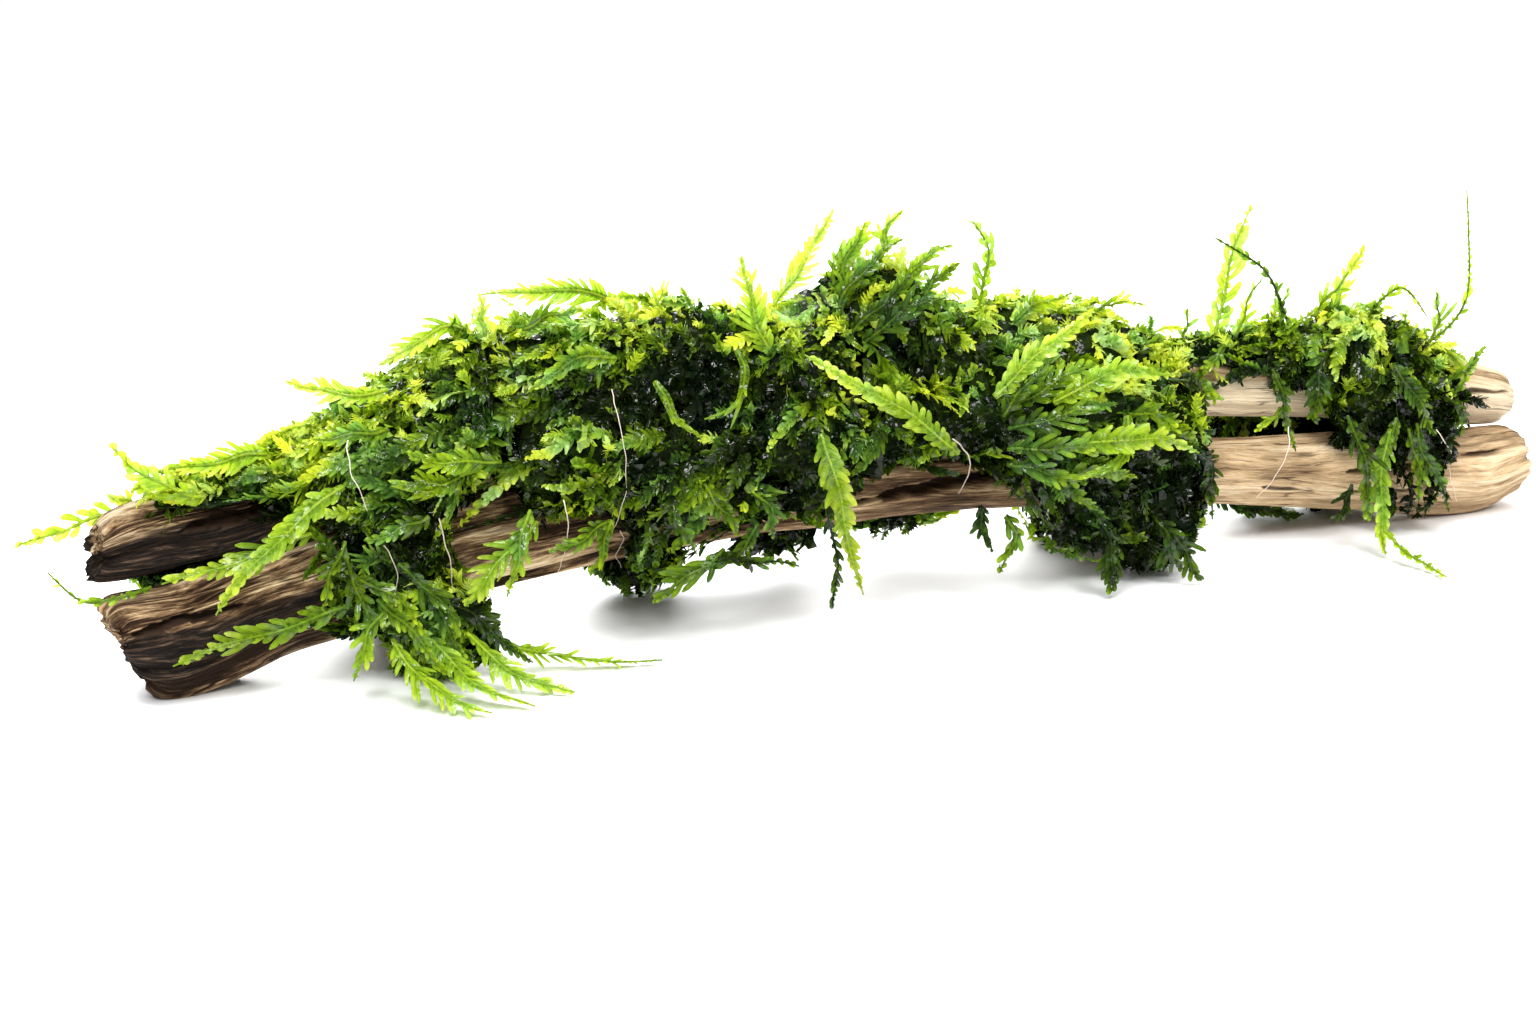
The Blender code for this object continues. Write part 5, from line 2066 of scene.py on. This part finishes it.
@dataclass
class MossClump:
    """A clump of moss: thousands of leaves rooted in a CAD clump's outside, on a crinkled core dark with
    painted shade.
    """

    name: str
    node: str
    triangles: int
    shares: tuple[float, ...]
    seed: int
    sprays: tuple[Frond, ...] = ()
    thin: tuple[Glow, ...] = ()
    rib_stations: int = 9
    tone_seed: int = 77
    core_depth: float = 2.6
    core_clear: tuple[float, float] = (0.4, 3.5)
    core_shade_tone: float = 0.1
    core_mottle: float = 0.05
    core_matt: float = 1.3
    core_waves: float = 3.0
    stick_gap: float = 1.3
    back_from: float = 0.35
    back_share: float = 0.7
    thin_share: float = 0.8
    bunch_spots: int = 900
    comb: float = 1.4
    fan_out: float = 0.5
    up_proud: float = 0.3
    hold: float = 0.5
    lighter: float = 0.06
    painted_shade_mid_depth: float = 1.5
    edge_sink: float = 1.2
    edge_hold: float = 2.2
    edge_painted_shade: float = 0.2
    depth_painted_shade: float = 0.06
    back: tuple[float, float] = (0.05, 0.3)
    down: tuple[float, float] = (0.0, 0.25)
    side_sway: float = 0.18
    pull_share: float = 0.55
    twist: float = 0.7

    def build(self, carrier: Carrier, finish: bpy.types.Material, slot: str) -> bpy.types.Object:
        """Make the clump's piece in place of its CAD node.

        Args:
            carrier: What its leaves lie on.
            finish: The leaf material, shared by the clumps.
            slot: Not used.

        Returns:
            The new piece.
        """
        skin = NodeMesh.of(self.node)
        parts = [self.core(skin, carrier)]
        draws = np.random.default_rng(self.seed + 5)
        spots, _ = self.places(skin, carrier, Zone.ALL, self.bunch_spots, draws)
        bunches = Bunches.among(spots, self.seed + 6)
        for number, (growth, share) in enumerate(zip(GROWTHS, self.shares)):
            seed, triangles = self.seed + 10 * number, int(self.triangles * share)
            parts.append(self.grown(skin, carrier, bunches, growth, triangles, seed))
        parts += SignatureFronds(self.sprays, carrier, seed=self.seed + 50).surfaces()
        surface = Surface.joined(parts)
        surface.points[:, 2] = np.maximum(surface.points[:, 2], FLOOR_GAP)
        made = surface.add_to_scene(self.name, finish)
        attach(made, "root")
        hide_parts(self.node)
        LOG.info("%s: %d triangles", self.name, surface.triangle_count())
        return made

    def core(self, skin: NodeMesh, carrier: Carrier) -> Surface:
        """The inside of the clump, dark with painted shade: the CAD clump cut finer, drawn in, and made
        lumpy.

        Each face becomes four. A point goes in along its direction by core_depth·(1 + ½·noise), and by
        less close to a stick, where the clump is thin.

        Args:
            skin: The CAD clump.
            carrier: Where the wood is.

        Returns:
            The surface, with the values tone, rim and ray.
        """
        a, b, c = (skin.corners[:, corner] for corner in range(3))
        ab, bc, ca = (a + b) / 2, (b + c) / 2, (c + a) / 2
        finer = np.stack([[a, ab, ca], [ab, b, bc], [ca, bc, c], [ab, bc, ca]])
        finer = NodeMesh(finer.transpose(0, 2, 1, 3).reshape(-1, 3, 3))
        points, faces = finer.merged()
        normals = np.zeros_like(points)
        for corner in range(3):
            np.add.at(normals, faces[:, corner], finer.normals())
        lumps = LatticeNoise(self.seed + 3).at(points / 2.2)
        depth = self.core_depth * (1.0 + 0.5 * lumps)
        depth = depth * smooth_step(carrier.wood_gap(points), *self.core_clear)
        points = points - unit(normals) * depth[:, None]
        # The core's low tone is painted shade in the gaps between the leaves.
        tone = self.core_shade_tone + self.core_mottle * lumps
        faces = faces[self.thinness(finer.middles()) < 0.5]
        ray = self.core_waves * LatticeNoise(self.seed + 8).at(points / 4.0)
        values = dict(tone=tone, rim=0.0 * tone + self.core_matt, ray=ray)
        return Surface(points, np.empty((0, 4), int), faces, values)

    def thinness(self, points: Array) -> Array:
        """How thin the moss is: 0.35·noise + Σ tone·exp(-(distance/reach)²) of the thin places, 0 to 1.

        Args:
            points: The places, one row each.

        Returns:
            One share a place.
        """
        total = 0.0 * points[:, 0]
        for place in self.thin:
            patchy = place.tone + 0.35 * LatticeNoise(self.seed + 4).at(points / 2.5)
            total += place.near(points) * patchy
        return np.clip(total, 0.0, 1.0)

    def places(
        self, skin: NodeMesh, carrier: Carrier, zone: Zone, count: int, rng: np.random.Generator
    ) -> tuple[Array, Array]:
        """Places spread evenly over the clump's outside, leaving out seams and what lies on a stick.

        Args:
            skin: The CAD clump.
            carrier: Where the wood is.
            zone: Which part of the outside they are on.
            count: How many places.
            rng: Draws them.

        Returns:
            The places and the outside's direction at each.
        """
        normals = skin.normals()
        kept = (carrier.wood_gap(skin.middles()) > self.stick_gap) & skin.off_seams(SEAMS)
        area = np.linalg.norm(normals, axis=1) * kept
        least, most = zone.value
        up = unit(normals)[:, 2]
        behind = unit(normals)[:, 1] > self.back_from
        area = area * np.where(behind, self.back_share, 1.0) * ((up > least) & (up < most))
        area = area * (1.0 - self.thin_share * self.thinness(skin.middles()))
        index = rng.choice(len(area), size=count, p=area / area.sum())
        first, second = np.sqrt(rng.random(count))[:, None], rng.random(count)[:, None]
        a, b, c = (skin.corners[index, corner] for corner in range(3))
        spots = (1 - first) * a + first * (1 - second) * b + first * second * c
        return spots, unit(normals[index])

    def grown(
        self,
        skin: NodeMesh,
        carrier: Carrier,
        bunches: Bunches,
        growth: Growth,
        triangles: int,
        seed: int,
    ) -> Surface:
        """Leaves of one kind all over the clump.

        A leaf leaves the outside along t·cos(lift) + n·sin(lift), where t runs along the outside, partly
        with the flow of the moss and partly with its bunch. It bends back to the moss and down, and is
        held to a small gap from what it lies on. Towards the edge of a bunch leaves lie deeper and get
        painted shade, so that dark gaps part the bunches, and leaves that lie deeper get more painted shade.

        Args:
            skin: The CAD clump.
            carrier: What the leaves lie on.
            bunches: What the leaves gather in.
            growth: The kind of leaf.
            triangles: How many triangles its leaves may come to.
            seed: Draws the places and sizes.

        Returns:
            The surface, with the values tone, rim and ray.
        """
        rng = np.random.default_rng(seed)
        per_leaf = growth.shape.surface(sample_ribs(self.rib_stations), 0).triangle_count()
        count = triangles // per_leaf
        spots, normals = self.places(skin, carrier, growth.zone, count, rng)
        marks = np.array([mark for mark, _ in FLOW])
        ways = np.array([way for _, way in FLOW])
        flow = np.stack([np.interp(spots[:, 0], marks, ways[:, axis]) for axis in range(3)], axis=1)
        flow = flow + HANG[growth.zone]
        way, out, bunch_tone, rise, apart = bunches.around(spots)
        wander = unit(rng.normal(0.0, 1.0, (count, 3)) + self.comb * way)
        wander = wander + self.fan_out * out * apart[:, None]
        heading = unit(flow) * growth.align + wander * (1 - growth.align)
        heading = unit(heading - dot(heading, normals) * normals)
        lift = np.radians(rng.uniform(*growth.lift, count))[:, None]
        ahead = heading * np.cos(lift) + normals * np.sin(lift)
        length = rng.uniform(*growth.length, count)[:, None]
        sunk = rng.uniform(*growth.depth, count) + self.edge_sink * apart**2
        root = spots - normals * sunk[:, None]
        back = rng.uniform(*self.back, count)[:, None]
        down = rng.uniform(*self.down, count)[:, None]
        tip = root + length * (ahead - back * normals - down * np.array([0.0, 0.0, 1.0]))
        sway = unit(np.cross(normals, heading)) * rng.normal(0.0, self.side_sway, count)[:, None]
        pull = root + length * (self.pull_share * ahead + sway)
        most = growth.proud * np.abs(rng.normal(0.0, 1.0, count))
        most = most * (1.0 + self.up_proud * normals[:, 2])
        most = most - self.hold + rise - self.edge_hold * apart**2
        tip, pull = carrier.held(tip, most), carrier.held(pull, most + self.hold)
        face = normals * np.cos(lift) - heading * np.sin(lift)
        face = face + rng.normal(0.0, growth.tumble, (count, 3))
        tone = moss_tone_and_painted_light(spots, normals, self.tone_seed) + growth.tone
        tone = tone + rng.normal(0.0, growth.spread, count)
        # Painted shade: darker towards a bunch's edge and the deeper a leaf lies.
        tone = tone + bunch_tone + self.lighter - self.edge_painted_shade * apart**2
        tone = tone - self.depth_painted_shade * (sunk - self.painted_shade_mid_depth)
        ribs = Ribs(
            line=bezier(root, pull, tip, self.rib_stations),
            face=unit(face),
            width=rng.uniform(*growth.width, count),
            tone=tone,
            twist=rng.normal(0.0, self.twist, count),
        )
        return growth.shape.surface(ribs, seed + 1)


def sample_ribs(stations: int) -> Ribs:
    """One straight midrib, to count a leaf's triangles on.

    Args:
        stations: How many points it has.

    Returns:
        The midrib.
    """
    line = np.linspace(0.0, 10.0, stations)[None, :, None] * np.array([1.0, 0.0, 0.0])
    one = np.ones(1)
    return Ribs(line, np.array([[0.0, 0.0, 1.0]]), 3.0 * one, 0.5 * one, 0.0 * one)


CLUMPS = (
    MossClump(
        "moss_left",
        "moss_left_cushion",
        178_000,
        (0.48, 0.22, 0.16, 0.08, 0.06),
        101,
        LEFT_SPRAYS,
    ),
    MossClump(
        "moss_centre",
        "moss_centre_cushion",
        170_000,
        (0.2, 0.4, 0.26, 0.08, 0.06),
        202,
        CENTRE_SPRAYS,
        thin=(Glow(-55, -16, 21, 9, 0.7), Glow(-40, -16, 20, 11, 0.75), Glow(-26, -16, 22, 8, 0.75)),
    ),
    MossClump(
        "moss_right",
        "moss_right_cushion",
        160_000,
        (0.28, 0.36, 0.22, 0.08, 0.06),
        303,
        RIGHT_SPRAYS,
    ),
    MossClump(
        "moss_tuft",
        "moss_right_tuft",
        150_000,
        (0.28, 0.36, 0.2, 0.09, 0.07),
        404,
        TUFT_SPRAYS,
        thin=(Glow(104, -12, 14, 8, 0.75), Glow(121, -12, 13, 9, 0.9), Glow(119, -11, 3, 9, 0.9)),
    ),
)


@dataclass(frozen=True)
class Thread:
    """A rootlet or dry stalk over the moss or the wood: three places on it, its radius and its tone."""

    root: Point
    bend: Point
    tip: Point
    radius: float
    tone: float


THREADS = (
    Thread((-111, -17, 46.5), (-111.5, -19, 41), (-108.5, -19, 34), 0.13, 0.9),
    Thread((-106, -18, 27), (-104, -19, 22), (-104.5, -17, 16), 0.13, 0.6),
    Thread((-96, -19, 31), (-94.5, -20, 24), (-93, -18, 17), 0.16, 0.5),
    Thread((-72, -17, 31), (-70.5, -16, 24), (-70, -9, 15), 0.15, 0.8),
    Thread((-63, -19, 51), (-61, -21, 38), (-58.5, -12, 24), 0.12, 0.75),
    Thread((-58, -12, 24), (-56.5, -9, 19), (-57, -8, 14), 0.13, 0.5),
    Thread((5.5, -21, 35), (11, -18, 29), (12.5, -11, 21), 0.2, 0.6),
    Thread((86, -15, 27.5), (86, -14, 20), (83.5, -9, 11.5), 0.15, 1.0),
    Thread((123, -12, 23), (127.5, -12, 17), (134.5, -7.5, 5.5), 0.15, 1.0),
)


@dataclass
class Rootlets:
    """The pale threads that hang over the moss and the wood."""

    plans: tuple[Thread, ...]
    carrier: Carrier
    name: str = "rootlets"
    seed: int = 31
    stations: int = 25
    gap: float = 0.8
    wave: float = 0.5
    wave_length: float = 2.4
    taper: tuple[float, float] = (0.8, 0.4)
    cells: int = 24
    around: int = 6

    def build(self, finish: ThreadFinish) -> bpy.types.Object:
        """Make all the threads as one piece.

        Args:
            finish: What they are made of.

        Returns:
            The new piece.
        """
        parts = []
        for plan in self.plans:
            line = bent_line(plan.root, plan.bend, plan.tip, self.stations)
            line = self.carrier.cleared(line, np.full(len(line), self.gap))
            even_out(line, 3)
            wave = self.wave * LatticeNoise(self.seed).at(line / self.wave_length)
            line = line + wave[:, None] * np.array([1.0, 0.0, 0.3])
            one = np.ones(1)
            ribs = Ribs(line[None], np.array([FRONT]), one, plan.tone * one, 0.0 * one)
            radii = (share * plan.radius for share in self.taper)
            parts.append(TubeShape(*radii, self.cells, self.around).surface(ribs, 0))
        surface = Surface.joined(parts)
        made = surface.add_to_scene(self.name, finish.material())
        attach(made, "root")
        LOG.info("%s: %d triangles", self.name, surface.triangle_count())
        return made


# The studio


@dataclass
class Studio:
    """The pale floor, the lights and the camera."""

    camera_place: Point = (-0.25392, -0.49432, 0.17422)
    azimuth: float = -25.0
    elevation: float = 15.68
    lens: float = 70.0
    sensor: float = 36.0
    floor_size: float = 12.0
    floor_ticks: int = 9
    floor_patches: float = 3.0
    floor_colours: Stops = stops((0.0, 0.9, 0.9, 0.91), (1.0, 0.93, 0.93, 0.93))
    floor_roughness: float = 0.55
    air: float = 0.55
    air_colour: Colour = opaque(1.0, 1.0, 1.0)
    sun_place: Point = (-0.12, -0.22, 0.96)
    sun_power: float = 2.2
    sun_angle: float = 26.0
    lamps: tuple[tuple[str, Point, float, float], ...] = (
        ("back", (0.1, 0.8, 0.5), 0.8, 20.0),
        ("spark_right", (0.2, -0.6, 0.8), 0.3, 5.4),
        ("spark_left", (-0.5, -0.5, 0.7), 0.3, 4.6),
    )
    aim: Point = (0.0, 0.0, 0.03)

    def build(self) -> None:
        """Set up the whole studio."""
        self.add_floor()
        self.add_world()
        self.add_sun()
        for name, place, size, power in self.lamps:
            self.add_lamp(name, place, size, power)
        self.add_camera()
        view = bpy.context.scene.view_settings
        view.view_transform = "Standard"
        view.look = "None"

    def add_floor(self) -> None:
        """A wide matt white floor, as a grid with z = 0."""
        reach = self.floor_size / 2
        ticks = np.linspace(-reach, reach, self.floor_ticks)
        x, y = np.meshgrid(ticks, ticks)
        points = np.stack([x.ravel(), y.ravel(), 0.0 * x.ravel()], axis=1)
        mesh = bpy.data.meshes.new("studio_floor")
        cells = grid_quads(self.floor_ticks, self.floor_ticks)
        mesh.from_pydata(points.tolist(), [], cells.tolist())
        made, tree, shader = new_material("studio_floor")
        spots = tree.noise(tree.place(), self.floor_patches, 2.0)
        tree.feed(shader.inputs["Base Color"], tree.ramp(spots, self.floor_colours))
        shader.inputs["Roughness"].default_value = self.floor_roughness
        mesh.materials.append(made)
        floor = bpy.data.objects.new("studio_floor", mesh)
        bpy.context.scene.collection.objects.link(floor)

    def add_world(self) -> None:
        """Even white light from everywhere, which the wet gloss doesn't mirror."""
        world = bpy.data.worlds.new("studio_air")
        world.use_nodes = True
        sky = world.node_tree.nodes["Background"]
        tree = Tree(world.node_tree)
        seen = tree.node("ShaderNodeLightPath").outputs["Is Camera Ray"]
        strength = tree.scaled(seen, 1.0 - self.air, self.air)
        tree.feed(sky.inputs["Color"], self.air_colour)
        tree.feed(sky.inputs["Strength"], strength)
        world.cycles_visibility.glossy = False
        bpy.context.scene.world = world

    def add_sun(self) -> None:
        """A wide overhead softbox, as a sun with a large disc, from the direction of its place."""
        data = bpy.data.lights.new("overhead", "SUN")
        data.energy = self.sun_power
        data.angle = math.radians(self.sun_angle)
        lamp = bpy.data.objects.new("overhead", data)
        lamp.matrix_world = Vector(self.sun_place).to_track_quat("Z", "Y").to_matrix().to_4x4()
        bpy.context.scene.collection.objects.link(lamp)

    def add_lamp(self, name: str, place: Point, size: float, power: float) -> None:
        """A square soft lamp that looks at the middle of the moss.

        Args:
            name: The lamp's name.
            place: Where it stands, in metres.
            size: How wide it is, in metres.
            power: Its power in watts.
        """
        data = bpy.data.lights.new(name, "AREA")
        data.size = size
        data.energy = power
        lamp = bpy.data.objects.new(name, data)
        away = Vector(place) - Vector(self.aim)
        lamp.matrix_world = Matrix.Translation(place) @ away.to_track_quat("Z", "Y").to_matrix().to_4x4()
        bpy.context.scene.collection.objects.link(lamp)

    def add_camera(self) -> None:
        """The camera at the photograph's viewing angle."""
        azimuth, elevation = math.radians(self.azimuth), math.radians(self.elevation)
        back = Vector(
            (
                math.sin(azimuth) * math.cos(elevation),
                -math.cos(azimuth) * math.cos(elevation),
                math.sin(elevation),
            )
        )
        right = (-back).cross(Vector((0.0, 0.0, 1.0))).normalized()
        turned = Matrix((right, back.cross(right), back)).transposed().to_4x4()
        data = bpy.data.cameras.new("camera")
        data.lens = self.lens
        data.sensor_width = self.sensor
        data.clip_end = 50.0
        camera = bpy.data.objects.new("camera", data)
        camera.matrix_world = Matrix.Translation(self.camera_place) @ turned
        bpy.context.scene.collection.objects.link(camera)
        bpy.context.scene.camera = camera


def main() -> None:
    """Build the sticks, the moss and the fronds in order, and then the studio."""
    logging.basicConfig(level=logging.INFO, format="%(name)s: %(message)s")
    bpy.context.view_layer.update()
    mottle, grain = mottle_group(), grain_group()
    LOWER_STICK.build(BROWN_WOOD, grain)
    UPPER_STICK.build(TAN_WOOD, grain)
    leaf = MOSS_LEAF.material(mottle)
    carrier = Carrier.of(tuple(clump.node for clump in CLUMPS), STICKS)
    for clump in CLUMPS:
        clump.build(carrier, leaf, MOSS_LEAF.slot)
    SignatureFronds(FRONDS, carrier).build(FROND_LEAF, mottle)
    Rootlets(THREADS, carrier).build(ThreadFinish())
    Studio().build()


if __name__ == "__main__":
    main()
